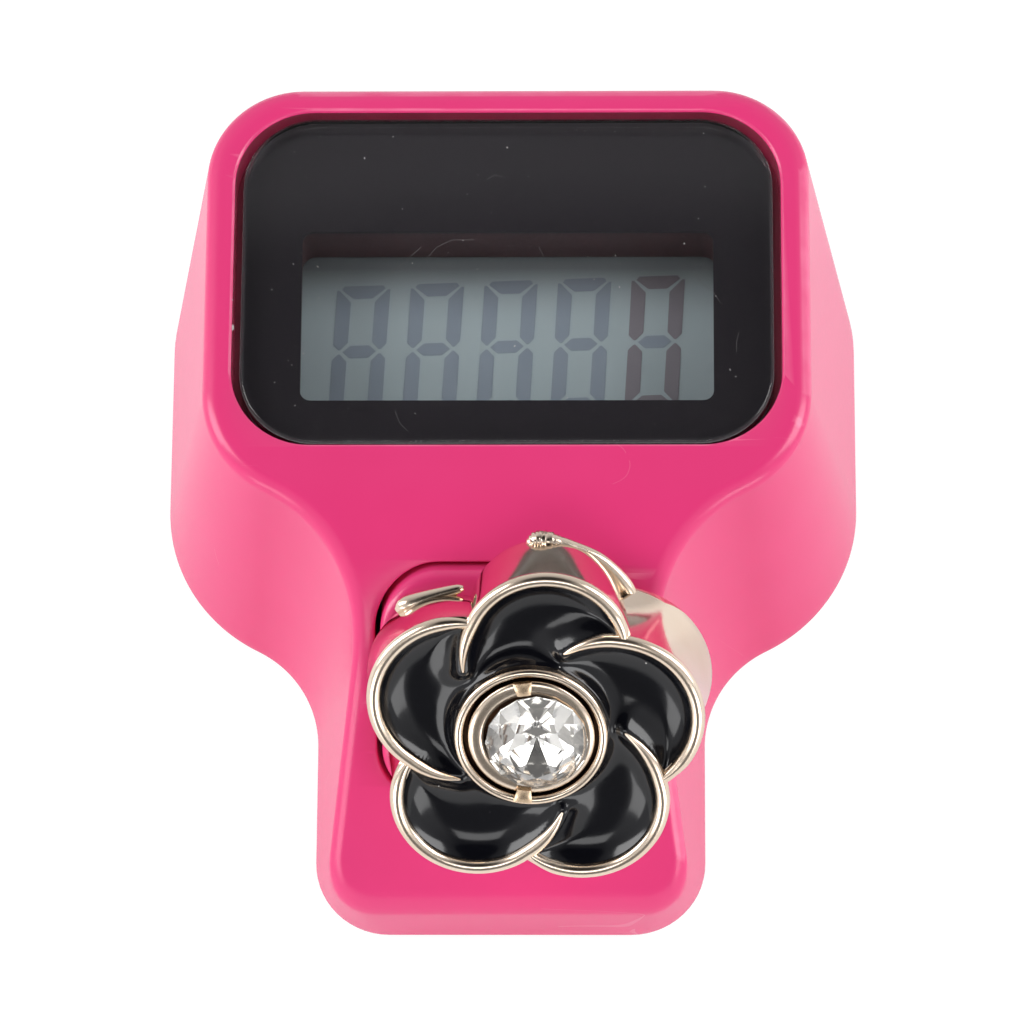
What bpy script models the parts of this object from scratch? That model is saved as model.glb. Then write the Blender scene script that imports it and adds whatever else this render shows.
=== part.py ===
# Digital tally counter: a moulded case with a liquid-crystal display in its wide head and a
# sprung count key on its sloping tail, with a cast flower and a faceted stone glued to the key.
# Metres, +Z up. The origin is the middle of the flat base, and the tail points towards -Y.

from math import acos, cos, pi, radians, sin, sqrt, tan

import bmesh
import bpy
from mathutils import Matrix, Vector

# Case: outside
CASE_LENGTH = 0.0301
CASE_HEIGHT = 0.0140
HEAD_WIDTH = 0.02755
TAIL_WIDTH = 0.0154
SIDE_DRAFT = radians(9.5)
END_DRAFT = radians(0.3)
HEAD_CORNER = 0.0059
SHOULDER_RADIUS = 0.0067
SHOULDER_PAST_WINDOW = 0.0024
NECK_RADIUS = 0.0044
TAIL_CORNER = 0.0031
TAIL_TOP_CORNER = 0.0018
SLOPE_ANGLE = radians(47.0)
TAIL_EDGE_SHARE = 0.277
BEND_RADIUS = 0.0100
BASE_FILLET = 0.0007
TOP_FILLET = 0.0006

# The slope: its corner is where its plane meets the flat top's, and V runs up it from there
TAIL_EDGE_HEIGHT = CASE_HEIGHT * TAIL_EDGE_SHARE
SLOPE_CORNER_Y = (CASE_HEIGHT - TAIL_EDGE_HEIGHT) / tan(SLOPE_ANGLE) - CASE_LENGTH / 2
SLOPE_LENGTH = (CASE_HEIGHT - TAIL_EDGE_HEIGHT) / sin(SLOPE_ANGLE)
BEND_START_Y = SLOPE_CORNER_Y + BEND_RADIUS * tan(SLOPE_ANGLE / 2)

# Case: inside
WALL = 0.0011
ROOF = 0.0015
LEAST_CORNER = 0.0004
LEDGE_THICKNESS = 0.0008
SHAFT_WALL = 0.0008

# Clearances and the overrun of every cut
SEAT_GAP = 0.0002
FILM_GAP = 0.0001
SIDE_GAP = 0.00015
OVERRUN = 0.0010

# Window
RIM_SIDE = 0.00335
RIM_END = 0.00085
FACE_MARGIN = 0.00135
RECESS_WIDTH = HEAD_WIDTH - 2 * RIM_SIDE
RECESS_HIGH_Y = CASE_LENGTH / 2 - RIM_END
RECESS_LOW_Y = BEND_START_Y + FACE_MARGIN
RECESS_LENGTH = RECESS_HIGH_Y - RECESS_LOW_Y
RECESS_CORNER = 0.0030
RECESS_NEAR_TRIM = 0.0002
RECESS_FAR_TRIM = 0.00028
LENS_SIDE_GAP = 0.0003
LENS_END_GAP = 0.00015
LENS_DROP = 0.0003
LENS_THICKNESS = 0.0009
LENS_BEVEL = 0.00015
MASK_THICKNESS = 0.00015
MASK_SIDE = 0.002575
WINDOW_LOW_SHARE = 0.1643
WINDOW_HIGH_SHARE = 0.6533
WINDOW_WIDTH = RECESS_WIDTH - 2 * MASK_SIDE
WINDOW_LOW_Y = RECESS_LOW_Y + RECESS_LENGTH * WINDOW_LOW_SHARE
WINDOW_HIGH_Y = RECESS_LOW_Y + RECESS_LENGTH * WINDOW_HIGH_SHARE
WINDOW_CORNER = 0.0004

# Display
DISPLAY_TURN = radians(1.4)
DISPLAY_Y_SHARE = 0.42
FRONT_GLASS_SHARE = 0.752
POLARISER_SHARE = 0.58
GLASS_SIDE = 0.002025
GLASS_LEDGE = 0.0016
POLARISER_INSET = 0.0002
STRIP_INSET = 0.0009
DISPLAY_Y = RECESS_LOW_Y + RECESS_LENGTH * DISPLAY_Y_SHARE
GLASS_WIDTH = RECESS_WIDTH - 2 * GLASS_SIDE
FRONT_GLASS_LENGTH = RECESS_LENGTH * FRONT_GLASS_SHARE
REAR_GLASS_LENGTH = FRONT_GLASS_LENGTH - 2 * GLASS_LEDGE
GLASS_THICKNESS = 0.0007
POLARISER_WIDTH = GLASS_WIDTH - 2 * POLARISER_INSET
POLARISER_LENGTH = RECESS_LENGTH * POLARISER_SHARE
FILM_THICKNESS = 0.0002
DISPLAY_CLEARANCE = 0.0003
FRAME_WALL = 0.0007
FRAME_FLOOR = 0.0007
STRIP_LENGTH = GLASS_WIDTH - 2 * STRIP_INSET
STRIP_WIDTH = 0.0009

# Main board
BOARD_LEVEL_SHARE = 0.411
BOARD_SIDE = 0.002575
BOARD_END = 0.00265
BOARD_START = 0.0005
BOARD_THICKNESS = 0.0008
BOARD_CORNER = 0.0036
BOARD_WIDTH = HEAD_WIDTH - 2 * BOARD_SIDE
BOARD_LOW_Y = RECESS_LOW_Y - BOARD_START
BOARD_HIGH_Y = CASE_LENGTH / 2 - BOARD_END
BOARD_SCREW_INSET = 0.0008
BOARD_SCREW_X = BOARD_WIDTH / 2 - BOARD_SCREW_INSET
BOARD_SCREW_SHARE = 0.31
BOARD_SCREW_Y = RECESS_LOW_Y + RECESS_LENGTH * BOARD_SCREW_SHARE
POST_RADIUS = 0.0008
RESIN_INSET = 0.0028
RESIN_SHARE = 0.59
RESIN_X = RESIN_INSET - BOARD_WIDTH / 2
RESIN_Y = RECESS_LOW_Y + RECESS_LENGTH * RESIN_SHARE
RESIN_RADIUS_SHARE = 0.156
RESIN_RADIUS = RECESS_LENGTH * RESIN_RADIUS_SHARE
RESIN_HEIGHT = 0.0006
CHIP_PART_INSET = 0.0030
CHIP_PART_X = BOARD_WIDTH / 2 - CHIP_PART_INSET
CAPACITOR_SHARE = 0.08
CAPACITOR_Y = RECESS_LOW_Y + RECESS_LENGTH * CAPACITOR_SHARE
CAPACITOR_SIZE = (0.0016, 0.0010, 0.0006)
RESISTOR_SHARE = 0.53
RESISTOR_Y = RECESS_LOW_Y + RECESS_LENGTH * RESISTOR_SHARE
RESISTOR_SIZE = (0.0016, 0.0008, 0.0005)

# Cell
CELL_RADIUS_SHARE = 0.4115
CELL_Y_SHARE = 0.433
CELL_SIDE = 0.00796
CELL_ROOM = 0.0008
CELL_CAP_INSET = 0.0008
CELL_RADIUS = min(RECESS_LENGTH * CELL_RADIUS_SHARE, HEAD_WIDTH / 2 - CELL_SIDE)
CELL_CAP_RADIUS = CELL_RADIUS - CELL_CAP_INSET
CELL_Y = RECESS_LOW_Y + RECESS_LENGTH * CELL_Y_SHARE
CELL_GROOVE = 0.0003
CONTACT_THICKNESS = 0.0002
CONTACT_WIDTH = 0.0024
CONTACT_FOOT = 0.0012
CELL_PEG_RADIUS = 0.0005
CELL_PEG_HEIGHT = 0.0020
CELL_PEG_DEGREES = (25, 155, 232, 308)

# Back cover
COVER_THICKNESS = 0.0013
COVER_GAP = 0.00015
HEAD_SCREW_SIDE = 0.004175
HEAD_SCREW_END = 0.00325
TAIL_SCREW_SIDE = 0.0034
TAIL_SCREW_END = 0.00285
HEAD_SCREW_X = HEAD_WIDTH / 2 - HEAD_SCREW_SIDE
HEAD_SCREW_Y = CASE_LENGTH / 2 - HEAD_SCREW_END
TAIL_SCREW_X = TAIL_WIDTH / 2 - TAIL_SCREW_SIDE
TAIL_SCREW_Y = TAIL_SCREW_END - CASE_LENGTH / 2
BOSS_RADIUS = 0.0016
TAIL_BOSS_RADIUS = 0.00135
RIB_INSET = 0.0010
RIB_THICKNESS = 0.0008

# Screws
CASE_SCREW_HEAD_RADIUS = 0.0010
CASE_SCREW_HEAD_HEIGHT = 0.0006
CASE_SCREW_RADIUS = 0.00055
CASE_SCREW_LENGTH = 0.0038
BOARD_SCREW_HEAD_RADIUS = 0.00075
BOARD_SCREW_HEAD_HEIGHT = 0.0005
BOARD_SCREW_RADIUS = 0.0004
BOARD_SCREW_LENGTH = 0.0026
SCREW_GAP = 0.0001
CROSS_DEPTH = 0.0003
CROSS_WIDTH_SHARE = 0.55
CROSS_FOOT_SHARE = 0.6
CROSS_ARM_SHARE = 0.4
HEAD_TOP_SHARE = 0.85
HEAD_EDGE_SHARE = 0.3

# Count key
KEY_SIDE = 0.0030
KEY_LENGTH_SHARE = 0.6683
KEY_CENTRE_SHARE = 0.3089
KEY_WIDTH = TAIL_WIDTH - 2 * KEY_SIDE
KEY_LENGTH = SLOPE_LENGTH * KEY_LENGTH_SHARE
KEY_CENTRE_V = -SLOPE_LENGTH * KEY_CENTRE_SHARE
KEY_CORNER = 0.0022
KEY_GAP = 0.0002
KEY_PROUD = 0.0003
KEY_FILLET = 0.0003
KEY_TRAVEL = 0.0005
KEY_SKIRT = 0.0034
FLANGE_REACH = 0.0006
FLANGE_CORNER = 0.0016
FLANGE_BOTTOM = 0.0044
KEY_WALL = 0.0010
STEM_RADIUS = 0.0013
STEM_LENGTH = 0.0003
DOME_RADIUS = 0.0031
DOME_TOP_RADIUS = 0.0014
DOME_WALL = 0.0004
DOME_TOP_WALL = 0.0005
DOME_FOOT = 0.0003
PILL_RADIUS = 0.0008
PILL_THICKNESS = 0.0003
KEY_BOARD_SIDE = 0.0025
KEY_BOARD_INSET = 0.0007
KEY_BOARD_WIDTH = TAIL_WIDTH - 2 * KEY_BOARD_SIDE
KEY_BOARD_LENGTH = KEY_LENGTH - 3 * KEY_BOARD_INSET
KEY_BOARD_THICKNESS = 0.0007
KEY_BOARD_CORNER = 0.0005
WIRE_RADIUS = 0.0003
WIRE_X = 0.0028
WIRE_LEAVE = 0.0005
WIRE_BEFORE_BOARD = 0.0005
WIRE_UNDER_BOARD = 0.0010
WIRE_PAST_EDGE = 0.0008

# Flower, glued on the key
FLOWER_X = 0.00115
FLOWER_SHARE = 0.2745
FLOWER_V = -SLOPE_LENGTH * FLOWER_SHARE
FLOWER_BASE = 0.0006
FLOWER_HEIGHT = 0.0037
PETAL_COUNT = 5
PETAL_TURN = radians(12.2)
PETAL_REACH = 0.0033
PETAL_RADIUS = 0.00305
RIM_WIDTH = 0.00055
FLARE = 0.00015
PETAL_DEPTH = 0.0016
ENAMEL_DROP = 0.0004
ENAMEL_DISH = 0.0005
RIDGE_TIP_RADIUS = 0.0035
RIDGE_TIP_TURN = radians(57.0)
RIDGE_MIDDLE_RADIUS = 0.0046
RIDGE_MIDDLE_TURN = radians(44.5)
RIDGE_ROOT_RADIUS = 0.0052
RIDGE_ROOT_TURN = radians(35.0)
RIDGE_TIP_WIDTH = 0.0002
GLUE_RADIUS = 0.0021
GLUE_THICKNESS = 0.00015
GLUE_X = 0.0006
GLUE_DOWN = 0.0026
GLUE_GAP = 0.00005

# Stone and its cup
CUP_RADIUS = 0.0028
CUP_RISE = 0.0002
CUP_RING_WIDTH = 0.00035
CUP_CHANNEL = 0.00025
CUP_CHANNEL_DEPTH = 0.0007
CUP_BORE = 0.00202
CUP_FLOOR = 0.0003
STONE_RADIUS = 0.00195
STONE_TABLE = 0.0011
STONE_CROWN = 0.0007
STONE_CROWN_SHOULDER_SHARE = 0.42
STONE_GIRDLE = 0.00015
STONE_PAVILION = 0.00102
STONE_FACETS = 8
CLAW_WIDTH = 0.00065
CLAW_REACH = 0.0001
CLAW_THICKNESS = 0.0002
CLAW_SINK = 0.00005
CLAW_DEGREES = (97, 263)

# Reset key
SWITCH_WIDTH = 0.0030
SWITCH_CLEARANCE = 0.0009
RESET_X = HEAD_SCREW_X - BOSS_RADIUS - SWITCH_CLEARANCE - SWITCH_WIDTH / 2
RESET_BELOW_BOARD = 0.00115
RESET_RADIUS = 0.0012
RESET_FLANGE_RADIUS = 0.0016
RESET_FLANGE_THICKNESS = 0.0004
RESET_PROUD = 0.0002
RESET_GAP = 0.0002
RESET_TRAVEL = 0.0004
SWITCH_HEIGHT = 0.0014
SWITCH_DEPTH = 0.0018
SWITCH_FRONT_Y = BOARD_HIGH_Y
PLUNGER_RADIUS = 0.0005
PLUNGER_LENGTH = 0.0009
PLUNGER_GAP = 0.0001

# Steps of round shapes
HEAD_CORNER_STEPS = 7
SHOULDER_STEPS = 9
NECK_STEPS = 8
TAIL_STEPS = 4
TAIL_CORNER_STEPS = 5
FILLET_STEPS = 3
ROUND_STEPS = 24
SMALL_STEPS = 16
CORNER_STEPS = 5
FILM_CORNER_STEPS = 2
PETAL_STEPS = 14
EDGE_PASSES = 5
KEY_SIDE_STEPS = 6
WIRE_STEPS = 4

# Levels from the top down to the ledge
LENS_TOP = CASE_HEIGHT - LENS_DROP
LENS_BOTTOM = LENS_TOP - LENS_THICKNESS
MASK_TOP = LENS_BOTTOM - FILM_GAP
MASK_BOTTOM = MASK_TOP - MASK_THICKNESS
LEDGE_TOP = MASK_BOTTOM - FILM_GAP
LEDGE_BOTTOM = LEDGE_TOP - LEDGE_THICKNESS

# Levels from the cell up to the display
BOARD_BOTTOM = CASE_HEIGHT * BOARD_LEVEL_SHARE
BOARD_TOP = BOARD_BOTTOM + BOARD_THICKNESS
FRAME_BOTTOM = BOARD_TOP + SEAT_GAP
FRAME_FLOOR_TOP = FRAME_BOTTOM + FRAME_FLOOR
REFLECTOR_BOTTOM = FRAME_FLOOR_TOP + FILM_GAP
REFLECTOR_TOP = REFLECTOR_BOTTOM + FILM_THICKNESS
REAR_GLASS_BOTTOM = REFLECTOR_TOP + FILM_GAP
REAR_GLASS_TOP = REAR_GLASS_BOTTOM + GLASS_THICKNESS
FRONT_GLASS_BOTTOM = REAR_GLASS_TOP + FILM_GAP
FRONT_GLASS_TOP = FRONT_GLASS_BOTTOM + GLASS_THICKNESS
POLARISER_BOTTOM = FRONT_GLASS_TOP + FILM_GAP
POLARISER_TOP = POLARISER_BOTTOM + FILM_THICKNESS
SHAFT_BOTTOM = POLARISER_TOP + SEAT_GAP
CELL_BOTTOM = COVER_THICKNESS + CONTACT_THICKNESS + 2 * SEAT_GAP
CELL_TOP = BOARD_BOTTOM - CELL_ROOM
CELL_HEIGHT = CELL_TOP - CELL_BOTTOM
RESET_Z = BOARD_BOTTOM - RESET_BELOW_BOARD

# Heights over the slope's plane, below the count key
FLANGE_TOP_OFFSET = -ROOF - KEY_GAP
STEM_BOTTOM = -FLANGE_BOTTOM - STEM_LENGTH
DOME_TOP = STEM_BOTTOM - FILM_GAP
PILL_TOP = DOME_TOP - DOME_TOP_WALL - FILM_GAP
PILL_BOTTOM = PILL_TOP - PILL_THICKNESS
KEY_BOARD_TOP = PILL_BOTTOM - KEY_TRAVEL - FILM_GAP
DOME_BOTTOM = KEY_BOARD_TOP + FILM_GAP
KEY_BOARD_BOTTOM = KEY_BOARD_TOP - KEY_BOARD_THICKNESS
KEY_BOARD_HIGH_V = KEY_CENTRE_V + KEY_LENGTH / 2 - 2 * KEY_BOARD_INSET
KEY_BOARD_LOW_V = KEY_BOARD_HIGH_V - KEY_BOARD_LENGTH
RIB_X = KEY_BOARD_WIDTH / 2 - RIB_INSET

# Heights over the slope's plane, in the flower
PETAL_TOP = FLOWER_BASE + FLOWER_HEIGHT
PETAL_FLOOR = PETAL_TOP - PETAL_DEPTH


def clear_scene():
    for item in list(bpy.data.objects):
        bpy.data.objects.remove(item, do_unlink=True)


def finish(item, colour, roughness, metallic=0.0, transmission=0.0):
    """Give the object a plain material of its own."""
    material = bpy.data.materials.new(item.name)
    material.use_nodes = True
    shader = material.node_tree.nodes["Principled BSDF"]
    shader.inputs["Base Color"].default_value = (*colour, 1.0)
    shader.inputs["Roughness"].default_value = roughness
    shader.inputs["Metallic"].default_value = metallic
    shader.inputs["Transmission Weight"].default_value = transmission
    item.data.materials.clear()
    item.data.materials.append(material)


def pink(item):
    finish(item, (0.87, 0.05, 0.20), 0.18)


def dark_plastic(item):
    finish(item, (0.02, 0.02, 0.022), 0.35)


def white_plastic(item):
    finish(item, (0.80, 0.79, 0.76), 0.4)


def clear_glass(item):
    finish(item, (0.72, 0.80, 0.78), 0.05, transmission=0.8)


def gold_plate(item):
    finish(item, (0.86, 0.66, 0.52), 0.15, metallic=1.0)


def bright_metal(item):
    finish(item, (0.72, 0.71, 0.69), 0.25, metallic=1.0)


def board_green(item):
    finish(item, (0.02, 0.16, 0.07), 0.45)


def add_object(name, bm, place=None, parent=None, sharp=30.0):
    """Make an object of the mesh, smooth except at its sharp edges."""
    bmesh.ops.remove_doubles(bm, verts=bm.verts, dist=FILM_GAP * FILM_GAP)
    bmesh.ops.recalc_face_normals(bm, faces=bm.faces)
    mesh = bpy.data.meshes.new(name)
    bm.to_mesh(mesh)
    bm.free()
    item = bpy.data.objects.new(name, mesh)
    bpy.context.scene.collection.objects.link(item)
    mesh.shade_smooth()
    mesh.set_sharp_from_angle(angle=radians(sharp))
    if parent is not None:
        item.parent = parent
    if place is not None:
        location, rotation = place
        item.location = location
        item.rotation_euler = rotation
    return item


def guide(item):
    """Keep a cutter out of the build."""
    item.hide_render = True
    item.display_type = 'WIRE'
    return item


def change(item, operand, operation):
    modifier = item.modifiers.new(operand.name, 'BOOLEAN')
    modifier.operation = operation
    modifier.solver = 'EXACT'
    modifier.object = operand


def cut(item, *cutters):
    for cutter in cutters:
        change(item, guide(cutter), 'DIFFERENCE')


def join(item, *additions):
    for addition in additions:
        change(item, guide(addition), 'UNION')


def paired_loft(rings):
    """Close a stack of half rings, given on the +X side, with their mirror images.

    Both ends are closed by strips from each point to its mirror image."""
    bm = bmesh.new()
    loops = []
    for half in rings:
        right = [bm.verts.new(point) for point in half]
        left = [bm.verts.new((-x, y, z)) for x, y, z in half]
        loops.append((right, left))
    last = len(rings[0]) - 1
    for (right_a, left_a), (right_b, left_b) in zip(loops, loops[1:]):
        for i in range(last):
            bm.faces.new((right_a[i], right_a[i + 1], right_b[i + 1], right_b[i]))
            bm.faces.new((left_a[i + 1], left_a[i], left_b[i], left_b[i + 1]))
        bm.faces.new((left_a[0], right_a[0], right_b[0], left_b[0]))
        bm.faces.new((right_a[last], left_a[last], left_b[last], right_b[last]))
    for right, left in (loops[0], loops[-1]):
        for i in range(last):
            bm.faces.new((right[i], right[i + 1], left[i + 1], left[i]))
    bmesh.ops.recalc_face_normals(bm, faces=bm.faces)
    bmesh.ops.triangulate(bm, faces=bm.faces)
    return bm


def arc(centre_x, centre_y, radius, start, end, steps):
    points = []
    for i in range(steps + 1):
        angle = start + (end - start) * i / steps
        points.append((centre_x + radius * cos(angle), centre_y + radius * sin(angle)))
    return points


def rounded_half(width, low, high, corner, steps=CORNER_STEPS, side_steps=1):
    """The right half of a rounded rectangle, from its high side to its low one."""
    side = width / 2 - corner
    upper = arc(side, high - corner, corner, pi / 2, 0, steps)
    lower = arc(side, low + corner, corner, 0, -pi / 2, steps)
    start, end = upper[-1][1], lower[0][1]
    straight = [(width / 2, start + (end - start) * i / side_steps) for i in range(1, side_steps)]
    return upper + straight + lower


def at_level(half, z):
    return [(x, y, z) for x, y in half]


def plate(half, low, high):
    return paired_loft([at_level(half, low), at_level(half, high)])


def block(size, centre):
    bm = bmesh.new()
    matrix = Matrix.Translation(centre) @ Matrix.Diagonal((*size, 1))
    bmesh.ops.create_cube(bm, size=1, matrix=matrix)
    return bm


def rods(places, radius, low, high, steps=SMALL_STEPS):
    """Upright rods, one at each place."""
    bm = bmesh.new()
    for x, y in places:
        matrix = Matrix.Translation((x, y, (low + high) / 2))
        bmesh.ops.create_cone(bm, cap_ends=True, segments=steps, radius1=radius, radius2=radius,
                              depth=high - low, matrix=matrix)
    return bm


def turned(profile, steps=ROUND_STEPS, ring=False, shares=None):
    """Turn a profile of (radius, height) points round Z; a ring's profile is a closed loop.

    shares, where given, holds for each point a function of the step that scales its radius."""
    bm = bmesh.new()
    rows = []
    for index, (radius, z) in enumerate(profile):
        if radius == 0:
            rows.append([bm.verts.new((0, 0, z))] * steps)
            continue
        share = shares[index] if shares and shares[index] else (lambda step: 1)
        row = []
        for i in range(steps):
            angle = 2 * pi * i / steps
            reach = radius * share(i)
            row.append(bm.verts.new((reach * cos(angle), reach * sin(angle), z)))
        rows.append(row)
    pairs = list(zip(rows, rows[1:]))
    if ring:
        pairs.append((rows[-1], rows[0]))
    for lower, upper in pairs:
        for i in range(steps):
            k = (i + 1) % steps
            corners = []
            for corner in (lower[i], lower[k], upper[k], upper[i]):
                if corner not in corners:
                    corners.append(corner)
            if len(corners) > 2:
                bm.faces.new(corners)
    bmesh.ops.recalc_face_normals(bm, faces=bm.faces)
    return bm


def bent_strip(path, thickness, width):
    """A strip of sheet metal across X that follows a path of (y, z) points at its middle."""
    sides = ([], [])
    for i, (y, z) in enumerate(path):
        before = Vector(path[max(i - 1, 0)])
        after = Vector(path[min(i + 1, len(path) - 1)])
        here = Vector((y, z))
        into = (here - before).normalized() if i else (after - here).normalized()
        out = (after - here).normalized() if i < len(path) - 1 else into
        along = (into + out).normalized()
        reach = thickness / 2 / max(cos(into.angle(out) / 2), 0.5)
        across = Vector((-along.y, along.x)) * reach
        sides[0].append(here + across)
        sides[1].append(here - across)
    outline = sides[0] + sides[1][::-1]
    bm = bmesh.new()
    right = [bm.verts.new((width / 2, p.x, p.y)) for p in outline]
    left = [bm.verts.new((-width / 2, p.x, p.y)) for p in outline]
    count = len(outline)
    last = len(path) - 1
    for i in range(count):
        k = (i + 1) % count
        bm.faces.new((right[i], right[k], left[k], left[i]))
    for side in (right, left):
        for i in range(last):
            bm.faces.new((side[i], side[i + 1], side[count - 2 - i], side[count - 1 - i]))
    bmesh.ops.recalc_face_normals(bm, faces=bm.faces)
    return bm


def case_top(y, offset=0.0):
    """Height of the case's top at a length y: flat, then the bend, then the slope."""
    start = SLOPE_CORNER_Y + BEND_RADIUS * tan(SLOPE_ANGLE / 2)
    radius = BEND_RADIUS + offset
    run = start - y
    if run <= 0:
        return CASE_HEIGHT + offset
    if run < radius * sin(SLOPE_ANGLE):
        return CASE_HEIGHT - BEND_RADIUS + sqrt(radius * radius - run * run)
    return CASE_HEIGHT - (SLOPE_CORNER_Y - y) * tan(SLOPE_ANGLE) + offset / cos(SLOPE_ANGLE)


def slope_top(v, offset=0.0):
    """The same top seen from the slope: its height over the slope's plane, v up the slope."""
    tangent = -BEND_RADIUS * tan(SLOPE_ANGLE / 2)
    if v <= tangent:
        return offset
    return sqrt((BEND_RADIUS + offset) ** 2 - (v - tangent) ** 2) - BEND_RADIUS


def on_slope(x, v, height):
    """The world place of a point given in the slope's own axes."""
    y = SLOPE_CORNER_Y + v * cos(SLOPE_ANGLE) - height * sin(SLOPE_ANGLE)
    z = CASE_HEIGHT + v * sin(SLOPE_ANGLE) + height * cos(SLOPE_ANGLE)
    return Vector((x, y, z))


SLOPE_PLACE = (on_slope(0, 0, 0), (SLOPE_ANGLE, 0, 0))


def case_half(z, inset):
    """The case's outline at a height, on the +X side, from the far end to the tail's end."""
    side = z * tan(SIDE_DRAFT) + inset
    end = z * tan(END_DRAFT) + inset
    head = HEAD_WIDTH / 2 - side
    tail = TAIL_WIDTH / 2 - side
    far = CASE_LENGTH / 2 - end
    near = end - CASE_LENGTH / 2
    head_corner = HEAD_CORNER - side
    shoulder = SHOULDER_RADIUS - side
    neck = NECK_RADIUS + side
    level_share = min(max(z / TAIL_EDGE_HEIGHT, 0), 1)
    corner = TAIL_CORNER + (TAIL_TOP_CORNER - TAIL_CORNER) * level_share - inset
    corner = max(corner, LEAST_CORNER)
    turn = acos(1 - (head - tail) / (shoulder + neck))
    shoulder_y = RECESS_LOW_Y + SHOULDER_PAST_WINDOW
    neck_y = shoulder_y - (shoulder + neck) * sin(turn)
    half = arc(head - head_corner, far - head_corner, head_corner, pi / 2, 0, HEAD_CORNER_STEPS)
    half += arc(head - shoulder, shoulder_y, shoulder, 0, -turn, SHOULDER_STEPS)
    half += arc(tail + neck, neck_y, neck, pi - turn, pi, NECK_STEPS)[1:]
    low = near + corner
    for i in range(1, TAIL_STEPS):
        half.append((tail, neck_y + (low - neck_y) * i / TAIL_STEPS))
    half += arc(tail - corner, low, corner, 0, -pi / 2, TAIL_CORNER_STEPS)
    return half


def case_edge(inset, offset, fillet, rise):
    """A ring of the case under its top: fillet is the edge's radius and rise how far it turns."""
    ring = []
    for column in range(len(case_half(0, 0))):
        z = CASE_HEIGHT + offset - fillet
        for _ in range(EDGE_PASSES):
            z = case_top(case_half(z, inset)[column][1], offset) - fillet
        x, y = case_half(z, inset + fillet * (1 - cos(rise)))[column]
        ring.append((x, y, case_top(y, offset) - fillet * (1 - sin(rise))))
    return ring


def case_body():
    """The case as a solid: base fillet, drafted walls, filleted top edge."""
    rings = []
    for i in range(FILLET_STEPS + 1):
        angle = pi / 2 * i / FILLET_STEPS
        z = BASE_FILLET * (1 - cos(angle))
        rings.append(at_level(case_half(z, BASE_FILLET * (1 - sin(angle))), z))
    for i in range(FILLET_STEPS + 1):
        rings.append(case_edge(0, 0, TOP_FILLET, pi / 2 * i / FILLET_STEPS))
    return paired_loft(rings)


def case_cavity():
    """The space inside the case, which leaves the ledge, shaft, bosses and posts standing."""
    rings = [at_level(case_half(-OVERRUN, WALL), -OVERRUN), at_level(case_half(0, WALL), 0),
             case_edge(WALL, -ROOF, 0, 0)]
    cavity = add_object("cavity_cutter", paired_loft(rings))
    top = CASE_HEIGHT + OVERRUN
    start = RECESS_LOW_Y - SHAFT_WALL
    length = CASE_LENGTH / 2 + OVERRUN - start
    ledge = block((HEAD_WIDTH, length, top - LEDGE_BOTTOM),
                  (0, start + length / 2, (top + LEDGE_BOTTOM) / 2))
    shaft = plate(window_half(SHAFT_WALL + SIDE_GAP), SHAFT_BOTTOM, top)
    head_bosses = rods(head_screw_places(), BOSS_RADIUS, COVER_THICKNESS + SEAT_GAP,
                       BOARD_BOTTOM - RESIN_HEIGHT - SEAT_GAP)
    tail_bosses = rods(tail_screw_places(), TAIL_BOSS_RADIUS, COVER_THICKNESS + SEAT_GAP, top)
    posts = rods(board_screw_places(), POST_RADIUS, BOARD_TOP + SEAT_GAP, top)
    cut(cavity, add_object("ledge_guide", ledge), add_object("shaft_guide", shaft),
        add_object("head_boss_guide", head_bosses), add_object("tail_boss_guide", tail_bosses),
        add_object("post_guide", posts))
    return cavity


def head_screw_places():
    return [(side * HEAD_SCREW_X, HEAD_SCREW_Y) for side in (-1, 1)]


def tail_screw_places():
    return [(side * TAIL_SCREW_X, TAIL_SCREW_Y) for side in (-1, 1)]


def board_screw_places():
    return [(side * BOARD_SCREW_X, BOARD_SCREW_Y) for side in (-1, 1)]


def recess_half(side, end):
    """The recess's outline in the roof, drawn in at its sides and at its ends."""
    return rounded_half(RECESS_WIDTH - 2 * side, RECESS_LOW_Y + RECESS_NEAR_TRIM + end,
                        RECESS_HIGH_Y - RECESS_FAR_TRIM - end, RECESS_CORNER - end,
                        SMALL_STEPS // 2)


def lens_half(inset):
    return recess_half(LENS_SIDE_GAP + inset, LENS_END_GAP + inset)


def window_half(outset):
    return rounded_half(WINDOW_WIDTH + 2 * outset, WINDOW_LOW_Y - outset, WINDOW_HIGH_Y + outset,
                        WINDOW_CORNER + outset)


def key_half(outset, side_outset=None, corner=None):
    """The count key's outline in its own axes, X across and Y up the slope."""
    across = outset if side_outset is None else side_outset
    reach = KEY_LENGTH / 2 + outset
    radius = KEY_CORNER + across if corner is None else corner
    return rounded_half(KEY_WIDTH + 2 * across, -reach, reach, radius, SMALL_STEPS // 2,
                        KEY_SIDE_STEPS)


KEY_PLACE = (on_slope(0, KEY_CENTRE_V, 0), (SLOPE_ANGLE, 0, 0))
RESET_PLACE = ((RESET_X, CASE_LENGTH / 2, RESET_Z), (-pi / 2, 0, 0))


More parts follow.
